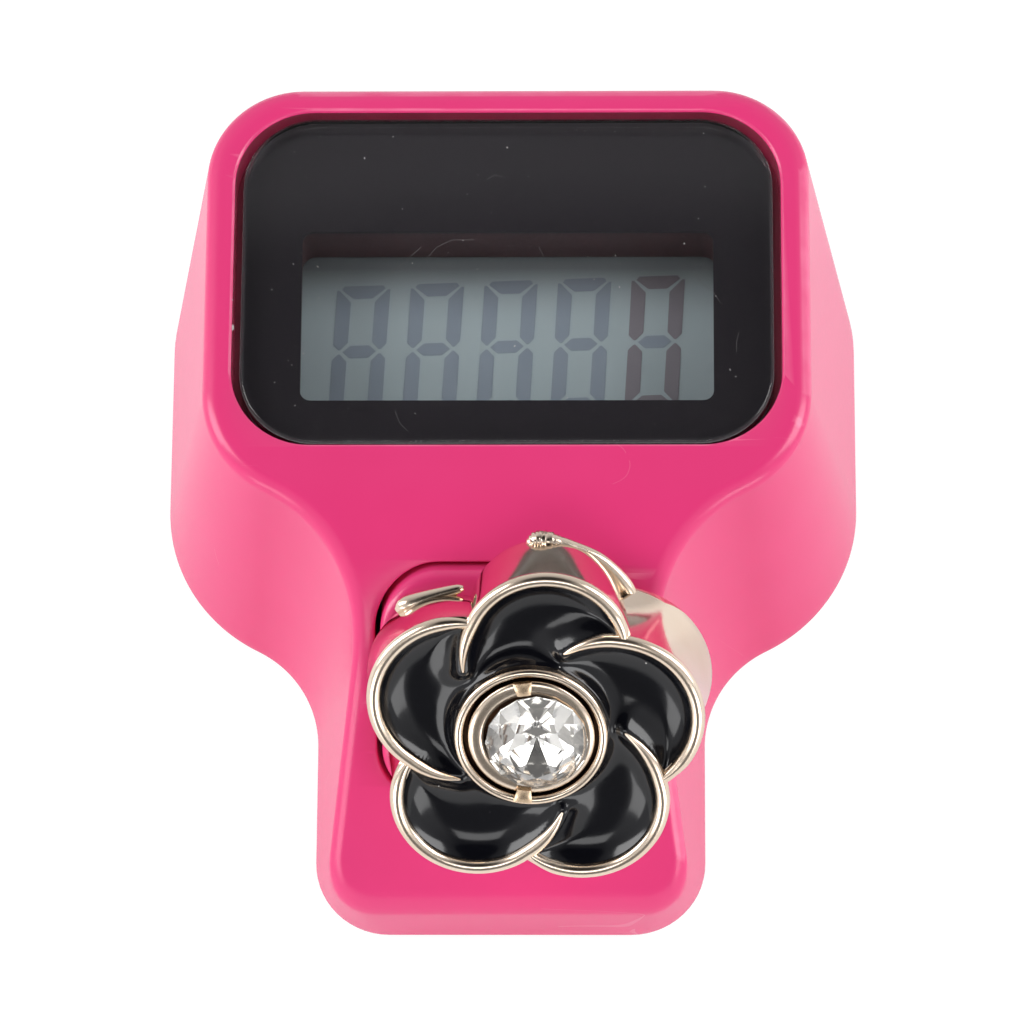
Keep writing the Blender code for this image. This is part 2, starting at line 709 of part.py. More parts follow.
def upper_housing():
    """The pink case: one moulding, open below, with the window recess and the key's opening."""
    housing = add_object("upper_housing", case_body())
    cut(housing, case_cavity())
    recess = plate(recess_half(0, 0), LEDGE_TOP, CASE_HEIGHT + OVERRUN)
    window = plate(window_half(SIDE_GAP), SHAFT_BOTTOM - OVERRUN, CASE_HEIGHT)
    opening = plate(key_half(KEY_GAP), -KEY_SKIRT, OVERRUN)
    reset_hole = turned([(0, -2 * WALL), (RESET_RADIUS + RESET_GAP, -2 * WALL),
                         (RESET_RADIUS + RESET_GAP, WALL), (0, WALL)])
    pilot = CASE_SCREW_RADIUS + SCREW_GAP
    depth = CASE_SCREW_LENGTH + CASE_SCREW_HEAD_HEIGHT
    pilots = rods(head_screw_places() + tail_screw_places(), pilot, 0, depth)
    post_pilots = rods(board_screw_places(), BOARD_SCREW_RADIUS + SCREW_GAP, BOARD_BOTTOM,
                       BOARD_BOTTOM + BOARD_SCREW_LENGTH)
    cut(housing, add_object("recess_cutter", recess), add_object("window_cutter", window),
        add_object("key_cutter", opening, KEY_PLACE),
        add_object("reset_cutter", reset_hole, RESET_PLACE),
        add_object("pilot_cutter", pilots), add_object("post_pilot_cutter", post_pilots))
    pink(housing)


def back_cover():
    """The plate that closes the case from below, with pegs round the cell and two ribs."""
    inset = WALL + COVER_GAP
    rings = [at_level(case_half(0, inset), 0),
             at_level(case_half(COVER_THICKNESS, inset), COVER_THICKNESS)]
    cover = add_object("back_cover", paired_loft(rings))
    reach = CELL_RADIUS + SEAT_GAP + CELL_PEG_RADIUS
    pegs = rods([(reach * cos(radians(a)), CELL_Y + reach * sin(radians(a)))
                 for a in CELL_PEG_DEGREES], CELL_PEG_RADIUS, COVER_THICKNESS / 2,
                COVER_THICKNESS + CELL_PEG_HEIGHT, CORNER_STEPS * 2)
    join(cover, add_object("peg_guide", pegs))
    for side in (-1, 1):
        join(cover, add_object("rib_guide_%d" % (side + 1), cover_rib(side * RIB_X)))
    holes = rods(head_screw_places() + tail_screw_places(), CASE_SCREW_RADIUS + SCREW_GAP,
                 -OVERRUN, COVER_THICKNESS + OVERRUN)
    bores = rods(head_screw_places() + tail_screw_places(), CASE_SCREW_HEAD_RADIUS + SCREW_GAP,
                 -OVERRUN, CASE_SCREW_HEAD_HEIGHT + FILM_GAP)
    cut(cover, add_object("cover_hole_cutter", holes), add_object("cover_bore_cutter", bores))
    dark_plastic(cover)


def cover_rib(x):
    """A rib that carries the key board from below, with a stop past its lower edge."""
    under = KEY_BOARD_BOTTOM - SEAT_GAP
    stop = KEY_BOARD_LOW_V - SEAT_GAP
    corners = [on_slope(x, KEY_BOARD_HIGH_V - RIB_THICKNESS, under), on_slope(x, stop, under),
               on_slope(x, stop, KEY_BOARD_TOP), on_slope(x, stop - RIB_THICKNESS, KEY_BOARD_TOP)]
    foot = COVER_THICKNESS / 2
    outline = [(corners[0].y, foot)] + [(p.y, p.z) for p in corners] + [(corners[-1].y, foot)]
    bm = bmesh.new()
    sides = []
    for shift in (-RIB_THICKNESS / 2, RIB_THICKNESS / 2):
        sides.append([bm.verts.new((x + shift, y, z)) for y, z in outline])
    bm.faces.new(sides[0])
    bm.faces.new(sides[1])
    for i in range(len(outline)):
        k = (i + 1) % len(outline)
        bm.faces.new((sides[0][i], sides[0][k], sides[1][k], sides[1][i]))
    bmesh.ops.recalc_face_normals(bm, faces=bm.faces)
    return bm


def cross_share(step):
    """Scales a round recess into a cross with four arms."""
    return 1 if step % 6 in (0, 1, 5) else CROSS_ARM_SHARE


def screw(name, place, head_radius, head_height, radius, length, bottom):
    """A pan-head screw that points up, with a cross recess in its head's lower face."""
    recess = head_radius * CROSS_WIDTH_SHARE
    profile = [(0, CROSS_DEPTH), (recess * CROSS_FOOT_SHARE, CROSS_DEPTH), (recess, 0),
               (head_radius * HEAD_TOP_SHARE, 0), (head_radius, head_height * HEAD_EDGE_SHARE),
               (head_radius, head_height),
               (radius, head_height), (radius, length - radius), (0, length)]
    shares = [None, cross_share, cross_share] + [None] * 6
    bm = turned(profile, ROUND_STEPS, shares=shares)
    item = add_object(name, bm, ((*place, bottom), (0, 0, 0)))
    bright_metal(item)


def case_screws():
    for i, place in enumerate(head_screw_places() + tail_screw_places()):
        screw("case_screw_%d" % (i + 1), place, CASE_SCREW_HEAD_RADIUS, CASE_SCREW_HEAD_HEIGHT,
              CASE_SCREW_RADIUS, CASE_SCREW_LENGTH, FILM_GAP / 2)


def board_screws():
    bottom = BOARD_BOTTOM - FILM_GAP - BOARD_SCREW_HEAD_HEIGHT
    for i, place in enumerate(board_screw_places()):
        screw("board_screw_%d" % (i + 1), place, BOARD_SCREW_HEAD_RADIUS,
              BOARD_SCREW_HEAD_HEIGHT, BOARD_SCREW_RADIUS, BOARD_SCREW_LENGTH, bottom)


def display_lens():
    """The clear window in the rim, with a small bevel round its top."""
    rings = [at_level(lens_half(0), LENS_BOTTOM),
             at_level(lens_half(0), LENS_TOP - LENS_BEVEL),
             at_level(lens_half(LENS_BEVEL), LENS_TOP)]
    item = add_object("display_lens", paired_loft(rings))
    finish(item, (0.03, 0.03, 0.035), 0.06, transmission=0.5)


def lens_mask():
    """The black border printed on the window's back, open over the digits."""
    mask = add_object("lens_mask", plate(lens_half(0), MASK_BOTTOM, MASK_TOP))
    hole = plate(window_half(0), MASK_BOTTOM - OVERRUN, MASK_TOP + OVERRUN)
    cut(mask, add_object("mask_cutter", hole))
    dark_plastic(mask)


def display_sheet(name, width, length, low, high, shift=0.0):
    half = rounded_half(width, shift - length / 2, shift + length / 2, LENS_BEVEL, FILM_CORNER_STEPS)
    return add_object(name, plate(half, low, high), ((0, DISPLAY_Y, 0), (0, 0, DISPLAY_TURN)))


def display_cell():
    """The liquid-crystal cell: two glasses, a front polariser and a rear reflector."""
    clear_glass(display_sheet("lcd_front_glass", GLASS_WIDTH, FRONT_GLASS_LENGTH,
                              FRONT_GLASS_BOTTOM, FRONT_GLASS_TOP))
    clear_glass(display_sheet("lcd_rear_glass", GLASS_WIDTH, REAR_GLASS_LENGTH,
                              REAR_GLASS_BOTTOM, REAR_GLASS_TOP))
    polariser = display_sheet("lcd_front_polariser", POLARISER_WIDTH, POLARISER_LENGTH,
                              POLARISER_BOTTOM, POLARISER_TOP)
    finish(polariser, (0.20, 0.24, 0.25), 0.25)
    reflector = display_sheet("lcd_reflector", POLARISER_WIDTH, REAR_GLASS_LENGTH,
                              REFLECTOR_BOTTOM, REFLECTOR_TOP)
    finish(reflector, (0.55, 0.57, 0.56), 0.4, metallic=0.6)


def strip_y():
    """How far each contact strip lies from the display's middle."""
    return (REAR_GLASS_LENGTH + FRONT_GLASS_LENGTH) / 4


def lcd_frame():
    """The moulded frame that holds the display on the main board."""
    reach = FRONT_GLASS_LENGTH / 2 + DISPLAY_CLEARANCE + FRAME_WALL
    width = GLASS_WIDTH + 2 * (DISPLAY_CLEARANCE + FRAME_WALL)
    outer = rounded_half(width, DISPLAY_Y - reach, DISPLAY_Y + reach, FRAME_WALL, FILM_CORNER_STEPS)
    frame = add_object("lcd_frame", plate(outer, FRAME_BOTTOM, FRONT_GLASS_TOP))
    inner = rounded_half(width - 2 * FRAME_WALL, DISPLAY_Y - reach + FRAME_WALL,
                         DISPLAY_Y + reach - FRAME_WALL, LENS_BEVEL, FILM_CORNER_STEPS)
    cut(frame, add_object("frame_cutter", plate(inner, FRAME_FLOOR_TOP, CASE_HEIGHT)))
    for side, end in ((-1, "lower"), (1, "upper")):
        size = (STRIP_LENGTH + 2 * DISPLAY_CLEARANCE, STRIP_WIDTH + 2 * DISPLAY_CLEARANCE,
                2 * FRAME_FLOOR)
        slot = block(size, (0, DISPLAY_Y + side * strip_y(), FRAME_FLOOR_TOP - FRAME_FLOOR / 2))
        cut(frame, add_object("slot_cutter_" + end, slot))
    white_plastic(frame)


def zebra_strips():
    """The two rubber strips that carry the display's contacts down to the board."""
    low = BOARD_TOP + FILM_GAP
    high = FRONT_GLASS_BOTTOM - FILM_GAP
    for side, end in ((-1, "lower"), (1, "upper")):
        bm = block((STRIP_LENGTH, STRIP_WIDTH, high - low),
                   (0, DISPLAY_Y + side * strip_y(), (low + high) / 2))
        item = add_object("zebra_strip_" + end, bm)
        finish(item, (0.30, 0.29, 0.27), 0.7)


def main_board():
    """The circuit board under the display."""
    half = rounded_half(BOARD_WIDTH, BOARD_LOW_Y, BOARD_HIGH_Y, BOARD_CORNER)
    board = add_object("main_board", plate(half, BOARD_BOTTOM, BOARD_TOP))
    holes = rods(board_screw_places(), BOARD_SCREW_RADIUS + SCREW_GAP, BOARD_BOTTOM - OVERRUN,
                 BOARD_TOP + OVERRUN)
    cut(board, add_object("board_cutter", holes))
    board_green(board)


def chip_resin():
    """The resin drop over the counting chip, under the board."""
    profile = [(0, -RESIN_HEIGHT)]
    for i in range(1, CORNER_STEPS):
        angle = pi / 2 * i / CORNER_STEPS
        profile.append((RESIN_RADIUS * sin(angle), -RESIN_HEIGHT * cos(angle)))
    profile += [(RESIN_RADIUS, 0), (0, 0)]
    place = ((RESIN_X, RESIN_Y, BOARD_BOTTOM - FILM_GAP), (0, 0, 0))
    item = add_object("chip_resin", turned(profile), place)
    finish(item, (0.012, 0.012, 0.014), 0.3)


def board_parts():
    """The small resistor and capacitor beside the cell."""
    for name, y, size, colour in (
            ("supply_capacitor", CAPACITOR_Y, CAPACITOR_SIZE, (0.45, 0.30, 0.16)),
            ("timing_resistor", RESISTOR_Y, RESISTOR_SIZE, (0.02, 0.02, 0.02))):
        bm = block(size, (CHIP_PART_X, y, BOARD_BOTTOM - FILM_GAP - size[2] / 2))
        finish(add_object(name, bm), colour, 0.4)


def coin_cell():
    """The button cell: a wide can below and a smaller cap above."""
    bevel = CELL_GROOVE
    seam = CELL_HEIGHT - CELL_GROOVE
    profile = [(0, 0), (CELL_RADIUS - bevel, 0), (CELL_RADIUS, bevel), (CELL_RADIUS, seam - bevel),
               (CELL_RADIUS - bevel, seam), (CELL_CAP_RADIUS + bevel / 2, seam),
               (CELL_CAP_RADIUS + bevel / 2, seam - bevel), (CELL_CAP_RADIUS, seam - bevel),
               (CELL_CAP_RADIUS, CELL_HEIGHT - bevel / 2),
               (CELL_CAP_RADIUS - bevel / 2, CELL_HEIGHT), (0, CELL_HEIGHT)]
    item = add_object("coin_cell", turned(profile, ROUND_STEPS + SMALL_STEPS),
                      ((0, CELL_Y, CELL_BOTTOM), (0, 0, 0)))
    bright_metal(item)


def cell_contacts():
    """The spring over the cell's cap, and the clip that comes round from under its can."""
    half = CONTACT_THICKNESS / 2
    foot_z = BOARD_BOTTOM - FILM_GAP - half
    touch_z = CELL_TOP + FILM_GAP + half
    near = CELL_Y - CELL_CAP_RADIUS + CONTACT_FOOT / 2
    spring = [(near, foot_z), (near + CONTACT_FOOT, foot_z), (CELL_Y - CONTACT_FOOT, touch_z),
              (CELL_Y + CONTACT_FOOT, touch_z), (CELL_Y + 2 * CONTACT_FOOT, touch_z + half)]
    bright_metal(add_object("cell_contact_minus",
                            bent_strip(spring, CONTACT_THICKNESS, CONTACT_WIDTH)))
    leg_y = CELL_Y - CELL_RADIUS - SEAT_GAP - half
    low_z = CELL_BOTTOM - SEAT_GAP - half
    clip = [(CELL_Y + 2 * CONTACT_FOOT, low_z), (leg_y, low_z), (leg_y, foot_z + half)]
    bright_metal(add_object("cell_contact_plus",
                            bent_strip(clip, CONTACT_THICKNESS, CONTACT_WIDTH)))


def key_axis():
    """An empty on the count key's line of travel, which carries everything that moves with it."""
    empty = bpy.data.objects.new("count_key_axis", None)
    empty.location, empty.rotation_euler = KEY_PLACE
    bpy.context.scene.collection.objects.link(empty)
    return empty


def key_surface(half, offset, inset=0.0):
    """Lift an outline of the key onto the case's surface."""
    ring = []
    for x, y in half:
        ring.append((x, y, slope_top(y + KEY_CENTRE_V, offset) - inset))
    return ring


def count_button(axis):
    """The pink key: a cap that follows the case's bend, on a skirt with two stop flanges."""
    rings = [at_level(key_half(0), -FLANGE_BOTTOM + KEY_FILLET)]
    for i in range(FILLET_STEPS + 1):
        angle = pi / 2 * i / FILLET_STEPS
        half = key_half(KEY_FILLET * (cos(angle) - 1))
        rings.append(key_surface(half, KEY_PROUD, KEY_FILLET * (1 - sin(angle))))
    button = add_object("count_button", paired_loft(rings), parent=axis)
    half = key_half(FLANGE_REACH, 0, FLANGE_CORNER)
    flange = paired_loft([at_level(half, -FLANGE_BOTTOM), key_surface(half, FLANGE_TOP_OFFSET)])
    join(button, add_object("flange_guide", flange, parent=axis))
    half = key_half(-KEY_WALL)
    pocket = paired_loft([at_level(half, STEM_BOTTOM), key_surface(half, -KEY_WALL)])
    cut(button, add_object("pocket_cutter", pocket, parent=axis))
    stem = rods([(0, 0)], STEM_RADIUS, STEM_BOTTOM, -KEY_WALL)
    join(button, add_object("stem_guide", stem, parent=axis))
    pink(button)


def count_dome(axis_place):
    """The rubber dome that springs the key back: a hollow cone open below, on a thin foot."""
    shoulder = DOME_TOP - DOME_TOP_WALL / 2
    profile = [(DOME_RADIUS - DOME_WALL - DOME_FOOT, DOME_BOTTOM), (DOME_RADIUS, DOME_BOTTOM),
               (DOME_RADIUS, DOME_BOTTOM + DOME_FOOT),
               (DOME_RADIUS - DOME_FOOT, DOME_BOTTOM + DOME_FOOT),
               (DOME_TOP_RADIUS, shoulder), (DOME_TOP_RADIUS - DOME_WALL / 2, DOME_TOP),
               (0, DOME_TOP), (0, DOME_TOP - DOME_TOP_WALL),
               (DOME_TOP_RADIUS - DOME_WALL, DOME_TOP - DOME_TOP_WALL)]
    inner = profile[-1]
    rows = [(0, DOME_TOP - DOME_TOP_WALL), inner] + profile[:7]
    item = add_object("count_dome", turned(rows), axis_place)
    finish(item, (0.62, 0.62, 0.60), 0.6)


def contact_pill(axis):
    """The carbon pill inside the dome, which closes the contacts when the key is pressed."""
    bm = rods([(0, 0)], PILL_RADIUS, PILL_BOTTOM, PILL_TOP)
    finish(add_object("contact_pill", bm, parent=axis), (0.015, 0.015, 0.015), 0.8)


def key_board():
    """The small contact board that the dome stands on."""
    half = rounded_half(KEY_BOARD_WIDTH, KEY_BOARD_LOW_V, KEY_BOARD_HIGH_V, KEY_BOARD_CORNER,
                        FILM_CORNER_STEPS)
    board_green(add_object("key_board", plate(half, KEY_BOARD_BOTTOM, KEY_BOARD_TOP), SLOPE_PLACE))


def smooth_points(points, steps):
    """Points on a smooth curve through a route's own points."""
    route = [Vector(point) for point in points]
    route = [2 * route[0] - route[1]] + route + [2 * route[-1] - route[-2]]
    line = []
    for a, b, c, d in zip(route, route[1:], route[2:], route[3:]):
        for i in range(steps):
            t = i / steps
            line.append(0.5 * (2 * b + (c - a) * t + (2 * a - 5 * b + 4 * c - d) * t ** 2
                               + (3 * b - a - 3 * c + d) * t ** 3))
    line.append(route[-2])
    return line


def key_wires():
    """The two insulated wires from the key board's back, between the ribs, to the main board."""
    start = KEY_BOARD_BOTTOM - FILM_GAP
    start_v = KEY_BOARD_HIGH_V - RIB_THICKNESS
    for side, end in ((-1, "left"), (1, "right")):
        x = side * WIRE_X
        leave = [on_slope(x, start_v, start), on_slope(x, start_v, start - WIRE_LEAVE)]
        before = BOARD_LOW_Y - WIRE_BEFORE_BOARD
        after = BOARD_LOW_Y + WIRE_PAST_EDGE
        high = BOARD_BOTTOM - FILM_GAP
        bends = [(x, before, BOARD_TOP), (x, before, BOARD_BOTTOM - WIRE_LEAVE),
                 (x, (before + after) / 2, BOARD_BOTTOM - WIRE_UNDER_BOARD)]
        arrive = [(x, after, high - WIRE_LEAVE), (x, after, high)]
        route = leave + bends + arrive
        curve = bpy.data.curves.new("key_wire_" + end, 'CURVE')
        curve.dimensions = '3D'
        curve.bevel_depth = WIRE_RADIUS
        curve.bevel_resolution = 1
        curve.use_fill_caps = True
        points = smooth_points(route, WIRE_STEPS)
        spline = curve.splines.new('POLY')
        spline.points.add(len(points) - 1)
        for knot, point in zip(spline.points, points):
            knot.co = (*point, 1)
        item = bpy.data.objects.new(curve.name, curve)
        bpy.context.scene.collection.objects.link(item)
        finish(item, (0.60, 0.02, 0.02) if side > 0 else (0.02, 0.02, 0.02), 0.45)


def petal_reach(angle, radius):
    """How far the flower's outline reaches at an angle, for petals of a radius."""
    pitch = 2 * pi / PETAL_COUNT
    turn = (angle - PETAL_TURN + pitch / 2) % pitch - pitch / 2
    return PETAL_REACH * cos(turn) + sqrt(radius ** 2 - (PETAL_REACH * sin(turn)) ** 2)


def petal_ring(radius):
    """The flower's scalloped outline, with a point in each notch."""
    count = PETAL_COUNT * PETAL_STEPS
    start = PETAL_TURN - pi / PETAL_COUNT
    ring = []
    for i in range(count):
        angle = start + 2 * pi * i / count
        reach = petal_reach(angle, radius)
        ring.append((reach * cos(angle), reach * sin(angle)))
    return ring


def stacked(rings):
    """Close a stack of whole rings of as many points each, with a face at either end."""
    bm = bmesh.new()
    rows = [[bm.verts.new(point) for point in ring] for ring in rings]
    for lower, upper in zip(rows, rows[1:]):
        for i in range(len(lower)):
            k = (i + 1) % len(lower)
            bm.faces.new((lower[i], lower[k], upper[k], upper[i]))
    for row in (rows[0], rows[-1]):
        middle = bm.verts.new(sum((v.co for v in row), Vector()) / len(row))
        for i in range(len(row)):
            bm.faces.new((row[i], row[(i + 1) % len(row)], middle))
    bmesh.ops.recalc_face_normals(bm, faces=bm.faces)
    return bm


def polar(radius, angle):
    return Vector((radius * cos(angle), radius * sin(angle)))


def ridge_path(start_turn):
    """A petal's rim where it curls inwards over its neighbour, from the notch to its tip."""
    knots = [polar(RIDGE_ROOT_RADIUS, start_turn + RIDGE_ROOT_TURN),
             polar(RIDGE_MIDDLE_RADIUS, start_turn + RIDGE_MIDDLE_TURN),
             polar(RIDGE_TIP_RADIUS, start_turn + RIDGE_TIP_TURN)]
    path = smooth_points([(*knot, 0) for knot in knots], CORNER_STEPS // 2)
    return [point.to_2d() for point in path]


def ridge(start_turn, low, high, swell):
    """The upright wall along a ridge path, narrowing to the tip; swell widens it all round."""
    path = ridge_path(start_turn)
    outline_left, outline_right = [], []
    for i, point in enumerate(path):
        along = (path[min(i + 1, len(path) - 1)] - path[max(i - 1, 0)]).normalized()
        share = i / (len(path) - 1)
        width = RIM_WIDTH + (RIDGE_TIP_WIDTH - RIM_WIDTH) * share
        across = Vector((-along.y, along.x)) * (width / 2 + swell)
        if i == 0:
            point = point - along * swell
        if i == len(path) - 1:
            point = point + along * swell
        outline_left.append(point + across)
        outline_right.append(point - across)
    outline = outline_left + outline_right[::-1]
    return stacked([[(*p, low) for p in outline], [(*p, high) for p in outline]])


def petal_turns():
    return [PETAL_TURN + 2 * pi * i / PETAL_COUNT for i in range(PETAL_COUNT)]


FLOWER_SPOT = (FLOWER_X, FLOWER_V - KEY_CENTRE_V, 0)
FLOWER_PLACE = (FLOWER_SPOT, (0, 0, 0))


def ridge_guides(prefix, item, low, high, swell, axis, change_item):
    for i, turn in enumerate(petal_turns()):
        guide_item = add_object("%s_%d" % (prefix, i + 1), ridge(turn, low, high, swell),
                                FLOWER_PLACE, axis)
        change_item(item, guide_item)


def flower_frame(axis):
    """The gold-plated casting: a scalloped dish with a rounded rim and five inner ridges."""
    half = RIM_WIDTH / 2
    bead = half / 2
    steps = [(PETAL_RADIUS + half + FLARE, FLOWER_BASE), (PETAL_RADIUS + half, PETAL_TOP - half),
             (PETAL_RADIUS + half - bead / 2, PETAL_TOP - bead / 2),
             (PETAL_RADIUS, PETAL_TOP), (PETAL_RADIUS - half + bead / 2, PETAL_TOP - bead / 2),
             (PETAL_RADIUS - half, PETAL_TOP - half), (PETAL_RADIUS - half, PETAL_FLOOR)]
    rings = [at_level(petal_ring(radius), z) for radius, z in steps]
    frame = add_object("flower_frame", stacked(rings), FLOWER_PLACE, axis)
    ridge_guides("ridge_guide", frame, PETAL_FLOOR - half, PETAL_TOP - bead / 2, 0, axis, join)
    gold_plate(frame)


def petal_enamel(axis):
    """The black enamel that fills the petals round the cup, dished like a set liquid."""
    radius = PETAL_RADIUS - RIM_WIDTH / 2 - FILM_GAP
    low = PETAL_FLOOR + FILM_GAP
    high = PETAL_TOP - ENAMEL_DROP
    middle = high - ENAMEL_DISH
    cup = CUP_RADIUS + FILM_GAP
    outer = petal_ring(radius)
    waist = [tuple((Vector(p) + Vector(p).normalized() * cup) / 2) for p in outer]
    inner = [tuple(Vector(p).normalized() * cup) for p in outer]
    bm = bmesh.new()
    rows = []
    for ring, z in ((outer, low), (outer, high), (waist, middle), (inner, middle), (inner, low)):
        rows.append([bm.verts.new((*p, z)) for p in ring])
    for lower, upper in zip(rows, rows[1:] + rows[:1]):
        for i in range(len(lower)):
            k = (i + 1) % len(lower)
            bm.faces.new((lower[i], lower[k], upper[k], upper[i]))
    bmesh.ops.recalc_face_normals(bm, faces=bm.faces)
    bmesh.ops.triangulate(bm, faces=bm.faces)
    enamel = add_object("petal_enamel", bm, FLOWER_PLACE, axis)
    ridge_guides("enamel_cutter", enamel, low - OVERRUN, PETAL_TOP, FILM_GAP, axis, cut)
    finish(enamel, (0.008, 0.008, 0.010), 0.08)


def stone_cup(axis):
    """The turned cup in the flower's middle: an outer ring, a channel and the stone's bore."""
    low = PETAL_FLOOR + FILM_GAP
    high = PETAL_TOP + CUP_RISE
    ring_in = CUP_RADIUS - CUP_RING_WIDTH
    bore_out = ring_in - CUP_CHANNEL
    bead = CUP_RING_WIDTH / 3
    profile = [(0, low), (CUP_RADIUS, low), (CUP_RADIUS, high - bead), (CUP_RADIUS - bead, high),
               (ring_in + bead, high), (ring_in, high - bead),
               (ring_in, high - CUP_CHANNEL_DEPTH), (bore_out, high - CUP_CHANNEL_DEPTH),
               (bore_out, high), (CUP_BORE, high), (CUP_BORE, low + CUP_FLOOR),
               (0, low + CUP_FLOOR)]
    cup = add_object("stone_cup", turned(profile, 2 * ROUND_STEPS), FLOWER_PLACE, axis)
    for i, angle in enumerate(CLAW_DEGREES):
        inner = CUP_BORE - CLAW_REACH
        outer = CUP_RADIUS - CUP_RING_WIDTH / 2
        bm = block((outer - inner, CLAW_WIDTH, CLAW_THICKNESS),
                   ((outer + inner) / 2, 0, high - CLAW_SINK + CLAW_THICKNESS / 2))
        bmesh.ops.rotate(bm, verts=bm.verts, cent=(0, 0, 0),
                         matrix=Matrix.Rotation(radians(angle), 3, 'Z'))
        join(cup, add_object("claw_guide_%d" % (i + 1), bm, FLOWER_PLACE, axis))
    gold_plate(cup)


def rhinestone(axis):
    """The faceted stone: a table, two rows of crown facets, the girdle and a pointed back."""
    low = PETAL_FLOOR + FILM_GAP + CUP_FLOOR + FILM_GAP
    girdle = low + STONE_PAVILION
    crown = girdle + STONE_GIRDLE + STONE_CROWN
    shoulder = crown - STONE_CROWN * STONE_CROWN_SHOULDER_SHARE
    middle = (STONE_RADIUS + STONE_TABLE) / 2
    points = [Vector((0, 0, low))]
    for i in range(2 * STONE_FACETS):
        rim = polar(STONE_RADIUS, pi * i / STONE_FACETS)
        points.append(Vector((*rim, girdle)))
        points.append(Vector((*rim, girdle + STONE_GIRDLE)))
    for i in range(STONE_FACETS):
        turn = 2 * pi * i / STONE_FACETS
        points.append(Vector((*polar(middle, turn + pi / STONE_FACETS), shoulder)))
        points.append(Vector((*polar(STONE_TABLE, turn), crown)))
    bm = bmesh.new()
    for point in points:
        bm.verts.new(point)
    bmesh.ops.convex_hull(bm, input=bm.verts)
    item = add_object("rhinestone", bm, FLOWER_PLACE, axis, sharp=1.0)
    finish(item, (0.95, 0.95, 0.96), 0.02, transmission=1.0)


def flower_glue(axis):
    """The glue between the key's flat face and the flower's back."""
    low = KEY_PROUD + GLUE_GAP
    bm = rods([(GLUE_X, FLOWER_V - GLUE_DOWN - KEY_CENTRE_V)], GLUE_RADIUS, low, low + GLUE_THICKNESS)
    finish(add_object("flower_glue", bm, parent=axis), (0.75, 0.74, 0.68), 0.3)


def reset_axis():
    """An empty on the reset key's line of travel, its Z axis out of the far end wall."""
    empty = bpy.data.objects.new("reset_key_axis", None)
    empty.location, empty.rotation_euler = RESET_PLACE
    bpy.context.scene.collection.objects.link(empty)
    return empty


def reset_button(axis):
    """The round reset key, with a flange that keeps it in the wall."""
    wall = CASE_LENGTH / 2 - case_inner_far(RESET_Z)
    flange_top = -wall - RESET_GAP
    flange_low = flange_top - RESET_FLANGE_THICKNESS
    bevel = RESET_PROUD / 2
    profile = [(0, flange_low), (RESET_FLANGE_RADIUS, flange_low),
               (RESET_FLANGE_RADIUS, flange_top), (RESET_RADIUS, flange_top),
               (RESET_RADIUS, RESET_PROUD - bevel), (RESET_RADIUS - bevel, RESET_PROUD),
               (0, RESET_PROUD)]
    item = add_object("reset_button", turned(profile), parent=axis)
    pink(item)


def case_inner_far(z):
    """How far the far end wall's inner face is from the middle, at a height."""
    return CASE_LENGTH / 2 - z * tan(END_DRAFT) - WALL


def reset_switch(axis):
    """The tact switch under the board, and its plunger behind the reset key."""
    high = BOARD_BOTTOM - FILM_GAP
    bm = block((SWITCH_WIDTH, SWITCH_DEPTH, SWITCH_HEIGHT),
               (RESET_X, SWITCH_FRONT_Y - SWITCH_DEPTH / 2, high - SWITCH_HEIGHT / 2))
    switch = add_object("reset_switch", bm)
    front = SWITCH_FRONT_Y - CASE_LENGTH / 2
    depth = PLUNGER_LENGTH + RESET_TRAVEL
    bore = rods([(0, 0)], PLUNGER_RADIUS + PLUNGER_GAP, front - depth, front + OVERRUN)
    cut(switch, add_object("switch_cutter", bore, RESET_PLACE))
    dark_plastic(switch)
    wall = CASE_LENGTH / 2 - case_inner_far(RESET_Z)
    tip = -wall - RESET_GAP - RESET_FLANGE_THICKNESS - FILM_GAP
    plunger = rods([(0, 0)], PLUNGER_RADIUS, tip - PLUNGER_LENGTH, tip)
    finish(add_object("reset_plunger", plunger, parent=axis), (0.5, 0.08, 0.05), 0.4)


def main():
    clear_scene()
    upper_housing()
    back_cover()
    case_screws()
    display_lens()
    lens_mask()
    display_cell()
    lcd_frame()
    zebra_strips()
    main_board()
    board_screws()
    chip_resin()
    board_parts()
    coin_cell()
    cell_contacts()
    axis = key_axis()
    count_button(axis)
    count_dome(KEY_PLACE)
    contact_pill(axis)
    key_board()
    key_wires()
    flower_frame(axis)
    petal_enamel(axis)
    stone_cup(axis)
    rhinestone(axis)
    flower_glue(axis)
    reset = reset_axis()
    reset_button(reset)
    reset_switch(reset)


main()
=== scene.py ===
from math import acos, atan2, cos, exp, pi, radians, sin, sqrt, tan
from random import Random

import bmesh
import bpy
from mathutils import Matrix, Vector
from mathutils.geometry import intersect_point_line


